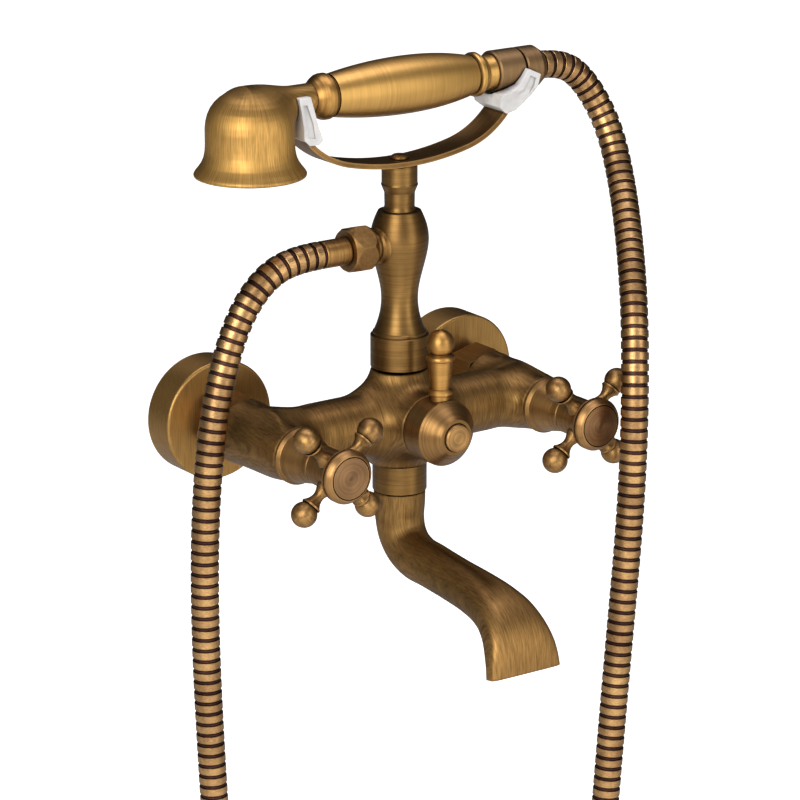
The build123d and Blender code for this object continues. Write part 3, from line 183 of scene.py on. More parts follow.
def brass(name, grain, brown, gold, rough=0.43, worn=0.5, contrast=1.0, tones=None):
    """Antique brass: satin brush lines, painted shade and dirt in the joints, painted shade where faces turn
    from the eye, and paler on the edges.

    grain gives the lines and the tangent, and tones a colour that the whole is multiplied by, which on the
    spout and the bell is painted light and shade.
    """
    material, n = new_material(name)
    position = n.add("ShaderNodeTexCoord").outputs["Object"]
    lines, tangent = grain(n, position)
    cloud = n.noise(position, CLOUD_SCALE, 3.0, 0.55)
    colour = n.mix(n.ramp(cloud, (0.30, 0.25), (0.70, 0.85)), brown, gold)
    low, high = 1.0 - 0.42 * contrast, 1.0 + 0.30 * contrast
    colour = n.mix(1.0, colour, n.ramp(lines, (0.30, low), (0.50, 0.97), (0.70, high)), "MULTIPLY")
    if tones:
        colour = n.mix(1.0, colour, tones(n, position), "MULTIPLY")
    # Painted shade where the face turns from the eye.
    colour = n.painted_shade_turned_away(colour, 0.48)
    rim = n.occlusion(EDGE_REACH, 6, inside=True)
    edge = n.math("MULTIPLY", n.ramp(rim, (0.50, 1.0), (0.86, 0.0)), worn)
    colour = n.mix(edge, colour, tuple(min(1.0, EDGE_GAIN * c) for c in gold))
    # Painted shade and dirt in the joints and seams; the dirt part also roughens them.
    seam_shade_and_dirt = n.ramp(n.occlusion(SEAM_REACH, 8), (0.38, 1.0), (0.90, 0.0))
    colour = n.mix(seam_shade_and_dirt, colour, DARK)
    roughness = n.add("ShaderNodeMapRange", {0: lines, 1: 0.3, 2: 0.7, 3: rough + 0.07, 4: rough - 0.05})
    roughness = n.math("ADD", roughness.outputs[0], n.math("MULTIPLY", seam_shade_and_dirt, 0.3))
    bump = n.add("ShaderNodeBump", {"Height": lines, "Strength": 0.4, "Distance": SCRATCH_DEPTH})
    shader = n.add("ShaderNodeBsdfPrincipled", {"Base Color": colour, "Metallic": 1.0, "Roughness": roughness,
                                                "Anisotropic": 0.5, "Anisotropic Rotation": 0.25,
                                                "Tangent": tangent, "Normal": bump.outputs[0]})
    finish_material(n, shader)
    return material


def straight_grain(scale, along=(0, 0, 1)):
    """Hairline brushing, finest across the axis with the largest scale."""
    def grain(n, position):
        stretched = n.vector("MULTIPLY", position, scale)
        wide = n.vector("MULTIPLY", position, tuple(0.3 * s for s in scale))
        lines = n.math("ADD", n.math("MULTIPLY", n.noise(stretched, 1.0, 3.0, 0.65), 0.78),
                       n.math("MULTIPLY", n.noise(wide, 1.0, 2.0, 0.5), 0.22))
        return lines, n.combine(along)
    return grain


def meridian_grain(centre, around_scale, down_scale):
    """Hairlines that run down a bell from its crown."""
    def grain(n, position):
        across = n.vector("MULTIPLY", n.vector("SUBTRACT", position, metres(centre)), (1, 1, 0))
        around = n.vector("NORMALIZE", across, (0, 0, 0))
        around = n.vector("MULTIPLY", around, (around_scale, around_scale, 0))
        down = n.vector("MULTIPLY", position, (0, 0, down_scale))
        lines = n.noise(n.vector("ADD", around, down), 1.0, 3.0, 0.62)
        return lines, n.combine((0, 0, 1))
    return grain


def turned_grain(centre, axis, fine=1700.0):
    """Rings left by a lathe about an axis through a centre."""
    def grain(n, position):
        local = n.vector("SUBTRACT", position, metres(centre))
        along = n.vector("DOT_PRODUCT", local, axis)
        axial = n.vector("MULTIPLY", n.combine((along, along, along)), axis)
        radius = n.vector("LENGTH", n.vector("SUBTRACT", local, axial), (0, 0, 0))
        drift = n.math("MULTIPLY", n.noise(position, 55.0, 1.0, 0.5), 3.0)
        rings = n.combine((n.math("MULTIPLY", along, fine), n.math("MULTIPLY", radius, fine), drift))
        coarse = n.vector("MULTIPLY", rings, (0.28, 0.28, 0.4))
        lines = n.math("ADD", n.math("MULTIPLY", n.noise(rings, 1.0, 2.0, 0.6), 0.6),
                       n.math("MULTIPLY", n.noise(coarse, 1.0, 2.0, 0.5), 0.4))
        return lines, n.vector("CROSS_PRODUCT", local, axis)
    return grain


def disc_tones(centre, radius, *stops):
    """Tones that change with the distance from an axis along Y."""
    def tones(n, position):
        across = n.vector("MULTIPLY", n.vector("SUBTRACT", position, metres(centre)), (1, 0, 1))
        return n.ramp(n.math("DIVIDE", n.vector("LENGTH", across, (0, 0, 0)), MM * radius), *stops)
    return tones


def run_tones(axis, start, end, *stops):
    """Tones that change along an axis."""
    def tones(n, position):
        along = n.vector("DOT_PRODUCT", position, axis)
        share = n.add("ShaderNodeMapRange", {0: along, 1: MM * start, 2: MM * end}).outputs[0]
        return n.ramp(share, *stops)
    return tones


def plain(name, colour, metallic, rough):
    """A simple finish with a little mottling, for what hardly shows."""
    material, n = new_material(name)
    position = n.add("ShaderNodeTexCoord").outputs["Object"]
    cloud = n.noise(position, 400.0, 3.0, 0.6)
    tone = n.mix(n.ramp(cloud, (0.3, 0.0), (0.7, 1.0)), tuple(0.8 * c for c in colour), colour)
    bump = n.add("ShaderNodeBump", {"Height": cloud, "Strength": 0.4, "Distance": SCRATCH_DEPTH})
    shader = n.add("ShaderNodeBsdfPrincipled", {"Base Color": tone, "Metallic": metallic, "Roughness": rough,
                                                "Normal": bump.outputs[0]})
    finish_material(n, shader)
    return material


def nylon(name):
    """White moulded nylon that lets some light through, with painted shade in its channels."""
    material, n = new_material(name)
    position = n.add("ShaderNodeTexCoord").outputs["Object"]
    cloud = n.noise(position, 90.0, 3.0, 0.6)
    tone = n.mix(n.ramp(cloud, (0.3, 0.0), (0.7, 1.0)), (0.58, 0.57, 0.56), (0.76, 0.76, 0.75))
    # Painted shade in the pad's channels and corners.
    tone = n.mix(n.ramp(n.occlusion(0.004, 8), (0.35, 0.75), (0.95, 0.0)), tone, (0.20, 0.19, 0.19))
    bump = n.add("ShaderNodeBump", {"Height": n.noise(position, 700.0), "Strength": 0.3, "Distance": 0.00003})
    shader = n.add("ShaderNodeBsdfPrincipled", {"Base Color": tone, "Roughness": 0.36, "IOR": 1.5,
                                                "Subsurface Weight": 0.35, "Subsurface Scale": 0.002,
                                                "Normal": bump.outputs[0]})
    shader.inputs["Subsurface Radius"].default_value = (1.0, 0.9, 0.85)
    finish_material(n, shader)
    return material


def hose_material(name, brown, gold, rough):
    """Antique brass of the hose, for its bands and, painted dark as shade, for its grooves."""
    material, n = new_material(name)
    position = n.add("ShaderNodeTexCoord").outputs["Object"]
    cloud = n.noise(position, 60.0, 3.0, 0.6)
    fine = n.noise(n.vector("MULTIPLY", position, (700, 700, 2600)), 1.0, 2.0, 0.6)
    colour = n.mix(n.ramp(cloud, (0.32, 0.1), (0.68, 0.9)), brown, gold)
    colour = n.mix(1.0, colour, n.ramp(fine, (0.3, 0.70), (0.68, 1.20)), "MULTIPLY")
    # Painted shade where the face turns from the eye.
    colour = n.painted_shade_turned_away(colour, 0.42)
    # Painted shade in the crevices between the rings.
    colour = n.mix(n.ramp(n.occlusion(0.0008, 6), (0.35, 0.8), (0.80, 0.0)), colour, DARK)
    bump = n.add("ShaderNodeBump", {"Height": fine, "Strength": 0.3, "Distance": 0.00003})
    shader = n.add("ShaderNodeBsdfPrincipled", {"Base Color": colour, "Metallic": 1.0, "Roughness": rough,
                                                "Normal": bump.outputs[0]})
    finish_material(n, shader)
    return material


def paint(piece, material):
    """One material for a piece."""
    piece.data.materials.clear()
    piece.data.materials.append(material)


# ------------------------------------------------------------------ shapes

def mesh_piece(name, points, faces, body, nodes=()):
    """A smooth mesh object that rides on a body and stands for CAD nodes."""
    mesh = bpy.data.meshes.new(name)
    mesh.from_pydata([tuple(p) for p in points], [], faces)
    mesh.update()
    mesh.shade_smooth()
    piece = bpy.data.objects.new(name, mesh)
    SCENE.collection.objects.link(piece)
    if body:
        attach(piece, body)
    if nodes:
        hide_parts(*nodes)
    return piece


def smooth_union(a, b, reach):
    """Distance to two shapes joined with a concave blend."""
    share = np.clip(0.5 + 0.5 * (b - a) / reach, 0, 1)
    return b + (a - b) * share - reach * share * (1 - share)


def smooth_cut(a, b, reach):
    """Distance to what two shapes share, with a rounded edge."""
    return -smooth_union(-a, -b, reach)


def gradient(distance, points, step=0.02):
    """Slope of a distance function at each point."""
    moved = [(distance(points + delta) - distance(points - delta)) / (2 * step)
             for delta in step * np.eye(3)]
    return np.stack(moved, 1)


def grid_quads(inside, index, cells):
    """Quads between the grid cells on both sides of the surface, all facing outward."""
    faces = []
    for axis in range(3):
        first = np.take(inside, range(inside.shape[axis] - 1), axis)
        second = np.take(inside, range(1, inside.shape[axis]), axis)
        crossing = np.argwhere(first != second)
        one, two = [k for k in range(3) if k != axis]
        good = (crossing[:, one] > 0) & (crossing[:, two] > 0)
        good &= (crossing[:, one] < cells[one]) & (crossing[:, two] < cells[two])
        crossing = crossing[good]
        outward = first[tuple(crossing.T)]
        corners = []
        for d_one, d_two in ((1, 1), (0, 1), (0, 0), (1, 0)):
            cell = crossing.copy()
            cell[:, one] -= d_one
            cell[:, two] -= d_two
            corners.append(index[tuple(cell.T)])
        quads = np.stack(corners, 1)
        if axis == 1:
            outward = ~outward
        quads[~outward] = quads[~outward][:, ::-1]
        faces.append(quads)
    return np.concatenate(faces)


def evened(points, edges):
    """Each point moved toward the middle of its neighbours."""
    total = np.zeros_like(points)
    times = np.zeros(len(points))
    for a, b in ((0, 1), (1, 0)):
        np.add.at(total, edges[:, a], points[edges[:, b]])
        np.add.at(times, edges[:, a], 1)
    return 0.4 * points + 0.6 * total / times[:, None]


def settled(distance, points, step):
    """Points moved onto the zero level of a distance function."""
    for _ in range(2):
        slope = gradient(distance, points)
        size = np.maximum((slope ** 2).sum(1), 0.2)
        move = slope * (distance(points) / size)[:, None]
        points = points - np.clip(move, -step, step)
    return points


def skin(distance, low, high, step, settle_turns=4, even_turns=3):
    """Quads over the zero level of a distance function in millimetres, with the points in metres."""
    axes = [np.arange(a, b + step, step) for a, b in zip(low, high)]
    grid = np.stack(np.meshgrid(*axes, indexing="ij"), -1)
    inside = distance(grid.reshape(-1, 3)).reshape(grid.shape[:3]) < 0
    cells = tuple(n - 1 for n in inside.shape)
    count = sum(inside[dx:cells[0] + dx, dy:cells[1] + dy, dz:cells[2] + dz].astype(int)
                for dx in (0, 1) for dy in (0, 1) for dz in (0, 1))
    active = (count > 0) & (count < 8)
    index = np.full(cells, -1)
    index[active] = np.arange(active.sum())
    faces = grid_quads(inside, index, cells)
    edges = np.concatenate([faces[:, [k, (k + 1) % 4]] for k in range(4)])
    points = grid[:-1, :-1, :-1][active] + step / 2
    for turn in range(settle_turns + even_turns):
        if turn >= settle_turns:
            points = evened(points, edges)
        points = settled(distance, points, step)
    return MM * points, faces.tolist()


def outline_distance(points, outline):
    """Signed distance of (r, z) points to a closed outline."""
    start = np.array(outline, float)
    end = np.roll(start, -1, axis=0)
    best = np.full(len(points), 1e9)
    crossings = np.zeros(len(points), int)
    for a, b in zip(start, end):
        along = b - a
        share = np.clip((points - a) @ along / (along @ along), 0, 1)
        best = np.minimum(best, np.linalg.norm(points - a - share[:, None] * along, axis=1))
        straddles = (a[1] > points[:, 1]) != (b[1] > points[:, 1])
        if a[1] != b[1]:
            reach = a[0] + (points[:, 1] - a[1]) * along[0] / along[1]
            crossings += straddles & (points[:, 0] < reach)
    return np.where(crossings % 2 == 1, -best, best)


def tube_faces(rows, around):
    """Quads between rings of points, with a face over each end."""
    faces = []
    for i in range(rows - 1):
        for j in range(around):
            k = (j + 1) % around
            faces.append((i * around + j, i * around + k, (i + 1) * around + k, (i + 1) * around + j))
    faces.append(tuple(range(around - 1, -1, -1)))
    faces.append(tuple((rows - 1) * around + j for j in range(around)))
    return faces


# ------------------------------------------------------------------ casting

CASTING_LOW, CASTING_HIGH, CASTING_STEP = (-95, -98, -24), (95, -39, 30), 1.0
ARM_INNER_X = 45
ARM_FRONT_Y = -90.4
ARM_BACK_Y = -42.0
BAR_Z = 1.0
BARREL_R = 13.9
BOSS_R = 16.4
BOSS_Z = 2.5
BOSS_FRONT_Y = -95.4
BODY_TOP_Z = 26.9
BODY_FOOT_Z = -21.5
SPIGOT_R = 10.8
SPIGOT_TOP_Z = 27.9
SPIGOT_FOOT_Z = 10
BOSS_BLEND = 9.0
BODY_BLEND = 17.0
EDGE_ROUND = 0.6
BAR_END_ROUND = 2.0


def casting_distance(p):
    """Body: bar, two valve arms, barrel and front boss, blended like a casting."""
    x, y, z = p[:, 0], p[:, 1] - COLUMN_Y, p[:, 2]
    bar_r = np.interp(np.abs(x), [20, 52, VALVE_X], [15.6, 15.4, 14.2])
    bar = smooth_cut(np.hypot(y, z - BAR_Z) - bar_r, np.abs(x) - VALVE_X, BAR_END_ROUND)
    barrel = np.hypot(x, y) - BARREL_R
    boss = np.maximum(np.hypot(x, z - BOSS_Z) - BOSS_R, y)
    body = smooth_union(bar, smooth_union(barrel, boss, BOSS_BLEND), BODY_BLEND)
    arm_r = np.interp(p[:, 1], [-90.5, -46, -42], [14.1, 16.4, 16.5])
    body = smooth_union(body, np.hypot(np.abs(x) - VALVE_X, z) - arm_r, BOSS_BLEND)
    ends = np.maximum(z - BODY_TOP_Z, BODY_FOOT_Z - z)
    arm_ends = np.maximum(ARM_FRONT_Y - p[:, 1], p[:, 1] - ARM_BACK_Y)
    fronts = np.where(np.abs(x) > ARM_INNER_X, arm_ends, BOSS_FRONT_Y - p[:, 1])
    body = smooth_cut(body, np.maximum(ends, fronts), EDGE_ROUND)
    spigot = np.maximum(np.hypot(x, y) - SPIGOT_R, np.maximum(z - SPIGOT_TOP_Z, SPIGOT_FOOT_Z - z))
    return np.minimum(body, spigot)


# --------------------------------------------------------------- hand shower

HEAD_LOW, HEAD_HIGH, HEAD_STEP = (-116, -98, 135), (-50, -39, 183), 0.8
NECK_R = 7.5
NECK_END_X = -52.4
NECK_BLEND = 9.0
RIM_ROUND = 0.4
BELL_OUTSIDE = [
    (0.0, 178.8), (3.0, 178.7), (6.0, 178.4), (9.0, 177.7), (12.0, 176.5), (14.8, 174.7), (17.2, 172.4),
    (19.1, 169.7), (20.4, 166.8), (21.2, 163.8), (21.6, 160.5), (21.6, 152.0), (21.8, 149.0), (22.4, 146.0),
    (23.5, 143.4), (25.1, 141.0), (26.6, 139.2), (27.2, 138.2), (27.3, 137.6), (27.0, 137.0), (26.4, 136.8),
    (0.0, 136.8),
]
BELL_INSIDE = [
    (0.0, 130.0), (24.0, 130.0), (24.0, 137.3), (23.4, 138.0), (23.4, 139.8), (20.6, 141.2), (20.0, 146.0),
    (19.8, 152.0), (19.8, 160.5), (17.0, 168.3), (11.0, 173.6), (0.0, 175.6),
]


def head_distance(p):
    """Bell of the hand shower, run into its neck and hollowed from below."""
    radius = np.hypot(p[:, 0] - BELL_X, p[:, 1] - COLUMN_Y)
    place = np.stack([radius, p[:, 2]], 1)
    neck = np.hypot(p[:, 1] - COLUMN_Y, p[:, 2] - HANDSET_Z) - NECK_R
    neck = np.maximum(neck, np.maximum(p[:, 0] - NECK_END_X, BELL_X - p[:, 0]))
    whole = smooth_union(outline_distance(place, BELL_OUTSIDE), neck, NECK_BLEND)
    return smooth_cut(whole, -outline_distance(place, BELL_INSIDE), RIM_ROUND)


# -------------------------------------------------------------------- spout

# Each station is y, z, half width, half depth and the power of its rounded outline.
SPOUT_STATIONS = [
    (-68.5, -36.7, 13.1, 13.1, 2.0), (-68.5, -43.0, 12.9, 12.9, 2.0), (-68.6, -51.0, 12.4, 12.4, 2.0),
    (-70.6, -58.6, 12.1, 12.1, 2.0), (-75.6, -64.6, 11.9, 11.9, 2.0), (-83.0, -68.1, 11.8, 11.8, 2.0),
    (-98.0, -69.6, 11.6, 11.5, 2.0), (-119.0, -71.4, 11.6, 11.3, 2.0), (-138.0, -73.2, 12.3, 11.2, 2.2),
    (-150.0, -75.4, 13.4, 10.9, 2.5), (-159.5, -79.0, 15.1, 10.0, 3.0), (-166.6, -84.8, 17.1, 8.5, 3.6),
    (-171.0, -91.6, 19.0, 6.6, 4.4), (-173.2, -98.0, 20.2, 4.8, 5.2), (-174.0, -102.6, 20.8, 3.9, 6.0),
]


def even_stations(stations, count):
    """Stations spread evenly along the line, on a smooth curve through the given ones."""
    given = np.array(stations)
    line = np.concatenate([[0], np.cumsum(np.linalg.norm(np.diff(given[:, :2], axis=0), axis=1))])
    slopes = np.gradient(given, line, axis=0)
    out = []
    for place in np.linspace(0, line[-1], count):
        k = min(int(np.searchsorted(line, place, "right")) - 1, len(line) - 2)
        width = line[k + 1] - line[k]
        t = (place - line[k]) / width
        values = given[k] * (2 * t ** 3 - 3 * t ** 2 + 1) + given[k + 1] * (3 * t ** 2 - 2 * t ** 3)
        turns = slopes[k] * (t ** 3 - 2 * t ** 2 + t) + slopes[k + 1] * (t ** 3 - t ** 2)
        out.append(values + width * turns)
    return np.array(out)


def rounded(value, power):
    """Sine or cosine of an outline between a circle and a box."""
    return math.copysign(abs(value) ** (2 / power), value)


def spout_mesh(around=96, count=110, wall=1.3, depth=16, lip=0.25):
    """Outside of the spout, its lip, and the inside as far as the flow straightener hides."""
    stations = even_stations(SPOUT_STATIONS, count)
    directions = np.gradient(stations[:, :2], axis=0)
    directions /= np.linalg.norm(directions, axis=1)[:, None]
    rows = [(k, 0.0) for k in range(count)]
    rows += [(count - 1, 0.35 * wall), (count - 1, 0.8 * wall)]
    rows += [(k, wall) for k in range(count - 1, count - depth, -1)]
    points = []
    for k, inward in rows:
        y, z, wide, deep, power = stations[k]
        out = lip if 0 < inward < wall else 0.0
        dy, dz = directions[k]
        for step in range(around):
            angle = 2 * math.pi * step / around
            across = rounded(math.cos(angle), power) * (wide - inward)
            up = rounded(math.sin(angle), power) * (deep - inward)
            place = (across, y + up * dz + out * dy, z - up * dy + out * dz)
            points.append(metres(place))
    return points, tube_faces(len(rows), around)


# -------------------------------------------------------------------- hose

# The two routes are in millimetres, and the hose's own sizes and its ends in metres.
HOSE_D = 0.014
HOSE_PITCH = 0.00555
HOSE_STEP = 0.001
HOSE_SHARP = math.radians(20)
HOSE_LOWER = [
    (-46.7, -68.5, 91.5), (-62, -68.5, 91.5), (-79, -68.5, 85.3), (-93.5, -68.5, 69), (-103.8, -68.5, 44),
    (-111.8, -68.5, 8), (-115.8, -68.5, -38), (-116.3, -68.5, -92), (-114, -69, -158), (-110.5, -71, -238),
    (-106, -74, -322), (-99, -78, -405), (-84, -84, -480), (-52, -96.8, -541), (-20, -109, -541),
]
HOSE_UPPER = [
    (84, -68.5, 170.3), (98.5, -68.5, 170.3), (112, -70.5, 160), (120.5, -79, 139), (119.5, -91, 117),
    (110, -111, 92), (97, -133, 63), (88, -146.5, 30), (86, -149, -12), (83.5, -149, -58), (79, -148.5, -112),
    (74, -148, -176), (69.5, -146.5, -250), (65, -144, -330), (60, -140, -410), (45, -133.5, -483),
    (12, -121.2, -541), (-20, -109, -541),
]


def smooth_line(name, route):
    """Points close together on the route's NURBS line, in metres."""
    curve = bpy.data.curves.new(name, "CURVE")
    curve.dimensions = "3D"
    curve.resolution_u = 24
    spline = curve.splines.new("NURBS")
    spline.points.add(len(route) - 1)
    for point, place in zip(spline.points, route):
        point.co = (*metres(place), 1)
    spline.order_u = 3
    spline.use_endpoint_u = True
    holder = bpy.data.objects.new(name, curve)
    SCENE.collection.objects.link(holder)
    bpy.context.view_layer.update()
    depsgraph = bpy.context.evaluated_depsgraph_get()
    line = bpy.data.meshes.new_from_object(holder.evaluated_get(depsgraph))
    points = [v.co.copy() for v in line.vertices]
    bpy.data.objects.remove(holder)
    bpy.data.curves.remove(curve)
    bpy.data.meshes.remove(line)
    return points


def resample(points, step):
    """Even points along a line, with its tangents and its length."""
    line = np.array(points)
    lengths = np.concatenate([[0], np.cumsum(np.linalg.norm(np.diff(line, axis=0), axis=1))])
    count = round(lengths[-1] / step)
    places = np.linspace(0, lengths[-1], count + 1)
    even = np.stack([np.interp(places, lengths, line[:, k]) for k in range(3)], 1)
    tangents = np.gradient(even, axis=0)
    tangents /= np.linalg.norm(tangents, axis=1)[:, None]
    return even, tangents, lengths[-1]


def carried_frames(tangents, first):
    """Two normals at each point, carried along the line without twist."""
    sides = []
    side = np.array(first, float)
    for tangent in tangents:
        side = side - tangent * side.dot(tangent)
        side /= np.linalg.norm(side)
        sides.append(side.copy())
    sides = np.array(sides)
    return sides, np.cross(tangents, sides)


# Each row is a share of the pitch, a share of the radius, and 1 for the groove, which is painted dark as its
# shade.
RING_PROFILE = [
    (0.00, 0.895, 1), (0.09, 0.895, 1), (0.11, 0.930, 1), (0.20, 0.930, 1), (0.22, 0.895, 1),
    (0.31, 0.895, 1), (0.33, 0.980, 0), (0.36, 1.000, 0), (0.65, 1.000, 0), (0.95, 1.000, 0),
    (0.98, 0.980, 1),
]


def ringed_tube(route_line, around=32):
    """Points and faces of a ringed tube on a line, with 1 for each groove face painted dark as shade and 0
    for each bright band face.
    """
    even, tangents, real_length = resample(route_line, HOSE_STEP)
    sides, ups = carried_frames(tangents, (0, 1, 0.01))
    turns = round(real_length / HOSE_PITCH)
    places = [(turn + share) / turns for turn in range(turns) for share, _, _ in RING_PROFILE]
    places = (len(even) - 1) * np.array(places + [1.0])
    steps = np.arange(len(even))
    centre, side, up = (np.stack([np.interp(places, steps, table[:, k]) for k in range(3)], 1)
                        for table in (even, sides, ups))
    radius = 0.5 * HOSE_D * np.array([r for _, r, _ in RING_PROFILE] * turns + [RING_PROFILE[0][1]])
    angles = 2 * math.pi * np.arange(around) / around
    points = centre[:, None] + radius[:, None, None] * (side[:, None] * np.cos(angles)[None, :, None]
                                                        + up[:, None] * np.sin(angles)[None, :, None])
    dark = [row_dark for _, _, row_dark in RING_PROFILE for _ in range(around)] * turns + [1, 1]
    return even, points.reshape(-1, 3).tolist(), tube_faces(len(places), around), dark


def add_hose(name, route, cad_node, materials):
    """One half of the metal hose: raised bands with grooves between them painted dark as shade."""
    even, points, faces, dark = ringed_tube(smooth_line(name + "_line", route))
    hose = mesh_piece(name, points, faces, None)
    hose.data.set_sharp_from_angle(angle=HOSE_SHARP)
    paint(hose, materials[0])
    # The second material paints the grooves dark as their shade.
    hose.data.materials.append(materials[1])
    hose.data.polygons.foreach_set("material_index", dark)
    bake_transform(hose)
    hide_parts(cad_node)


# ---------------------------------------------------------------- lighting

# Each light is a name, a place, a size, a power and a colour.
LIGHTS = [
    ("key_box", (-1.55, -1.10, 0.75), (1.1, 1.4), 29.0, (1.0, 0.98, 0.95)),
    ("right_box", (0.55, -1.90, 0.35), (0.8, 1.6), 11.0, (1.0, 0.98, 0.96)),
    ("low_box", (-0.6, -1.5, -0.58), (1.6, 0.8), 6.0, (1.0, 0.99, 0.97)),
    ("top_box", (0.1, 0.0, 1.5), (1.4, 0.9), 14.0, (0.90, 0.87, 1.0)),
]
AIM = (0, -0.08, 0)
FRONT = (-0.52, -0.75, 0.41)
FLOOR_Z = -0.62
FLOOR_HALF = 6


def add_world():
    """White to the camera; to the brass, bright in front and dim behind."""
    world = bpy.data.worlds.new("studio")
    SCENE.world = world
    world.use_nodes = True
    n = Nodes(world.node_tree)
    world.node_tree.nodes.clear()
    direction = n.add("ShaderNodeTexCoord").outputs["Generated"]
    facing = n.math("MULTIPLY_ADD", n.vector("DOT_PRODUCT", direction, FRONT), 0.5, 0.5)
    seen = n.add("ShaderNodeLightPath").outputs["Is Camera Ray"]
    soft = n.ramp(facing, (0.0, 0.03), (0.45, 0.05), (0.72, 0.24), (1.0, 0.46))
    colour = n.mix(seen, soft, (1.0, 1.0, 1.0))
    background = n.add("ShaderNodeBackground", {"Color": colour, "Strength": 1.0})
    output = n.add("ShaderNodeOutputWorld")
    world.node_tree.links.new(background.outputs[0], output.inputs[0])


def add_lights():
    """Soft boxes aimed at the middle of the casting."""
    for name, place, size, power, colour in LIGHTS:
        data = bpy.data.lights.new(name, "AREA")
        data.shape = "RECTANGLE"
        data.size, data.size_y = size
        data.energy = power
        data.color = colour
        light = bpy.data.objects.new(name, data)
        SCENE.collection.objects.link(light)
        light.location = place
        light.visible_camera = False
        light.rotation_euler = (Vector(AIM) - Vector(place)).to_track_quat("-Z", "Y").to_euler()


def add_floor():
    """A white floor below the hose, clear when seen from under it."""
    corners = [(x * FLOOR_HALF, y * FLOOR_HALF, FLOOR_Z) for x, y in ((-1, -1), (1, -1), (1, 1), (-1, 1))]
    floor = mesh_piece("floor", corners, [(0, 1, 2, 3)], None)
    material, n = new_material("floor_white")
    seen = n.add("ShaderNodeLightPath").outputs["Is Camera Ray"]
    glow = n.mix(seen, (0.10, 0.10, 0.10), (1.0, 1.0, 1.0))
    matt = n.add("ShaderNodeBsdfPrincipled", {"Base Color": (0.9, 0.9, 0.9, 1), "Roughness": 0.8,
                                              "Emission Color": glow, "Emission Strength": 1.0})
    below = n.add("ShaderNodeNewGeometry").outputs["Backfacing"]
    clear = n.add("ShaderNodeBsdfTransparent")
    finish_material(n, n.add("ShaderNodeMixShader", {0: below, 1: matt.outputs[0], 2: clear.outputs[0]}))
    floor.data.materials.append(material)


# ---------------------------------------------------------------- finishes

ALONG_X, ALONG_Y, ALONG_Z = (1, 0, 0), (0, 1, 0), (0, 0, 1)
BAR_GRAIN = straight_grain((2300, 170, 110))
FLANGE_GRAIN = straight_grain((1900, 1900, 70))
NUT_GRAIN = straight_grain((900, 60, 900), ALONG_Y)
STRIP_GRAIN = straight_grain((60, 1500, 60), ALONG_X)
BELL_GRAIN = meridian_grain((BELL_X, COLUMN_Y, 0), 62.0, 90.0)
HANDSET_GRAIN = turned_grain((0, COLUMN_Y, HANDSET_Z), ALONG_X)
OUTLET_GRAIN = turned_grain((0, COLUMN_Y, OUTLET_Z), ALONG_X)
RISER_GRAIN = turned_grain((0, COLUMN_Y, 0), ALONG_Z)
LEVER_GRAIN = turned_grain((0, LEVER_Y, 0), ALONG_Z)
DIVERTER_GRAIN = turned_grain((0, 0, DIVERTER_Z), ALONG_Y, 2600.0)

# Painted shade along the middle of the spout, and a painted highlight at its mouth.
SPOUT_PAINTED_LIGHT = run_tones((0, -1, 0), 60, 180, (0.0, 1.05), (0.25, 0.88), (0.50, 0.62), (0.72, 0.66),
                        (0.88, 0.95), (0.97, 1.35))
# Painted shade above the rim and over the crown of the bell.
BELL_PAINTED_SHADE = run_tones(ALONG_Z, 136, 182, (0.0, 1.0), (0.12, 0.80), (0.32, 1.05), (0.62, 1.05),
                       (0.80, 0.72), (0.93, 0.48))
# A dark centre, a brown face and a pale bezel.
CAP_TONES = ((0.0, (0.45, 0.45, 0.50)), (0.16, (0.88, 0.87, 0.92)), (0.74, (0.98, 0.96, 1.0)),
             (0.84, (1.18, 1.14, 0.96)))
CAP_R = 13

FINISHES = {
    "cast": dict(grain=BAR_GRAIN, brown=(0.165, 0.089, 0.030), gold=(0.300, 0.170, 0.054), rough=0.48,
                 contrast=1.4),
    "spout": dict(grain=BAR_GRAIN, brown=(0.200, 0.108, 0.037), gold=(0.330, 0.190, 0.061), rough=0.52,
                  contrast=1.35, tones=SPOUT_PAINTED_LIGHT),
    "bell": dict(grain=BELL_GRAIN, brown=(0.34, 0.190, 0.056), gold=GOLDEN, rough=0.50, tones=BELL_PAINTED_SHADE),
    "grip": dict(grain=HANDSET_GRAIN, brown=(0.48, 0.280, 0.084), gold=GOLDEN, contrast=0.35),
    "ring": dict(grain=HANDSET_GRAIN, brown=(0.32, 0.17, 0.05), gold=(0.52, 0.285, 0.08)),
    "riser": dict(grain=RISER_GRAIN, brown=(0.16, 0.086, 0.028), gold=(0.32, 0.184, 0.058), contrast=0.7),
    "lever": dict(grain=LEVER_GRAIN, brown=(0.36, 0.19, 0.055), gold=(0.58, 0.32, 0.09), contrast=0.5),
    "diverter": dict(grain=DIVERTER_GRAIN, brown=(0.18, 0.095, 0.034), gold=(0.36, 0.203, 0.073),
                     contrast=1.2),
    "button": dict(grain=DIVERTER_GRAIN, brown=(0.32, 0.175, 0.065), gold=(0.52, 0.30, 0.11)),
    "outlet": dict(grain=OUTLET_GRAIN, brown=(0.185, 0.098, 0.030), gold=(0.44, 0.245, 0.08)),
    "swivel": dict(grain=HANDSET_GRAIN, brown=(0.19, 0.113, 0.052), gold=(0.33, 0.205, 0.095), rough=0.5,
                   contrast=0.6),
    "flange": dict(grain=FLANGE_GRAIN, brown=(0.27, 0.150, 0.048), gold=(0.46, 0.268, 0.085), contrast=0.8),
    "nut": dict(grain=NUT_GRAIN, brown=(0.17, 0.086, 0.030), gold=(0.42, 0.242, 0.083), worn=1.0,
                contrast=0.7),
    "strip": dict(grain=STRIP_GRAIN, brown=(0.15, 0.080, 0.028), gold=(0.38, 0.216, 0.075), worn=0.9),
}
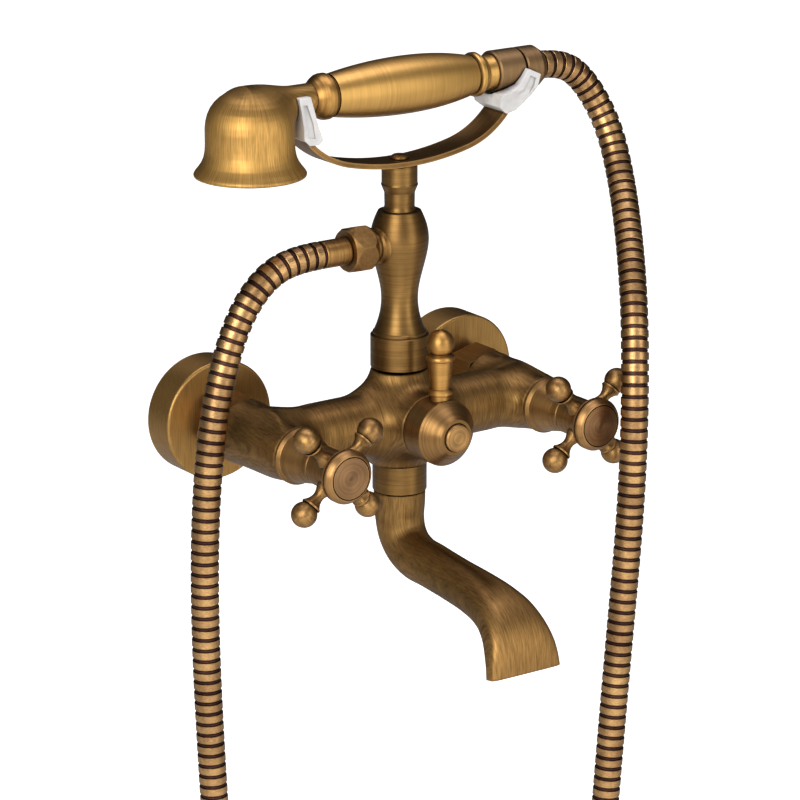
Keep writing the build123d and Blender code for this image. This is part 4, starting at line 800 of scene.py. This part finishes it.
FINISH_OF = {
    "hose_outlet": "outlet", "outlet_nut": "nut", "hose_lower_ferrule": "outlet", "riser_collar": "riser",
    "riser_column": "riser", "spout_collar": "riser", "cradle_post": "riser", "cradle_screw": "strip",
    "cradle_bar": "strip", "diverter_knob": "diverter", "diverter_button": "button",
    "diverter_lever": "lever", "grip": "grip", "neck_ring": "ring", "grip_end": "grip",
    "swivel_nut": "swivel", "hose_upper_ferrule": "swivel", "union_nuts": "nut",
    "left_wall_flange": "flange", "right_wall_flange": "flange", "spray_plate": "bell",
}
for side, x in (("hot", -VALVE_X), ("cold", VALVE_X)):
    grain = turned_grain((x, 0, 0), ALONG_Y)
    FINISHES[side + "_valve"] = dict(grain=grain, brown=(0.185, 0.100, 0.036), gold=(0.370, 0.210, 0.074))
    FINISHES[side + "_cap"] = dict(grain=grain, brown=(0.21, 0.117, 0.052), gold=(0.36, 0.208, 0.092),
                                   worn=0.6, tones=disc_tones((x, 0, 0), CAP_R, *CAP_TONES))
    FINISH_OF[side + "_index_cap"] = side + "_cap"
    for part in ("_bonnet", "_handle_cross", "_ball_tips"):
        FINISH_OF[side + part] = side + "_valve"

BRASS = {name: brass(name + "_brass", **settings) for name, settings in FINISHES.items()}
BY_SLOT = {
    "plain_brass": plain("plain_brass", (0.62, 0.42, 0.17), 1.0, 0.3),
    "steel": plain("machined_steel", (0.55, 0.55, 0.56), 1.0, 0.3),
    "ceramic": plain("ceramic_white", (0.85, 0.84, 0.80), 0.0, 0.15),
    "black_rubber": plain("black_rubber", (0.02, 0.02, 0.02), 0.0, 0.6),
    "white_nylon": nylon("white_nylon"),
}
# Bright bands, and grooves painted dark as shade.
HOSE_METALS = (hose_material("hose_bands", (0.30, 0.166, 0.070), (0.60, 0.365, 0.150), 0.38),
               hose_material("hose_groove_shade", (0.035, 0.016, 0.014), (0.11, 0.052, 0.038), 0.5))


# ------------------------------------------------------------------- pieces

def add_pieces():
    """The finer meshes that stand for three of the CAD's shapes."""
    casting = skin(casting_distance, CASTING_LOW, CASTING_HIGH, CASTING_STEP)
    paint(mesh_piece("casting", *casting, "mixer", ["mixer_body"]), BRASS["cast"])
    head = skin(head_distance, HEAD_LOW, HEAD_HIGH, HEAD_STEP)
    paint(mesh_piece("bell", *head, "handset", ["shower_head"]), BRASS["bell"])
    spout = mesh_piece("spout_shell", *spout_mesh(), "spout", ["spout"])
    paint(spout, BRASS["spout"])


def paint_nodes():
    """A finish for every CAD node that is still seen."""
    slots = {s["node"]: s["material_slot"] for s in frame["record"]["subparts"]}
    for name, node in frame["nodes"].items():
        if not node.hide_render:
            finish = BRASS.get(FINISH_OF.get(name)) or BY_SLOT.get(slots[name], BRASS["cast"])
            paint(node, finish)


SCENE.view_settings.view_transform = "Standard"
add_camera()
add_world()
add_lights()
add_floor()
add_hose("hose_lower", HOSE_LOWER, "hose_lower_run",
         HOSE_METALS)
add_hose("hose_upper", HOSE_UPPER, "hose_upper_run",
         HOSE_METALS)
add_pieces()
paint_nodes()
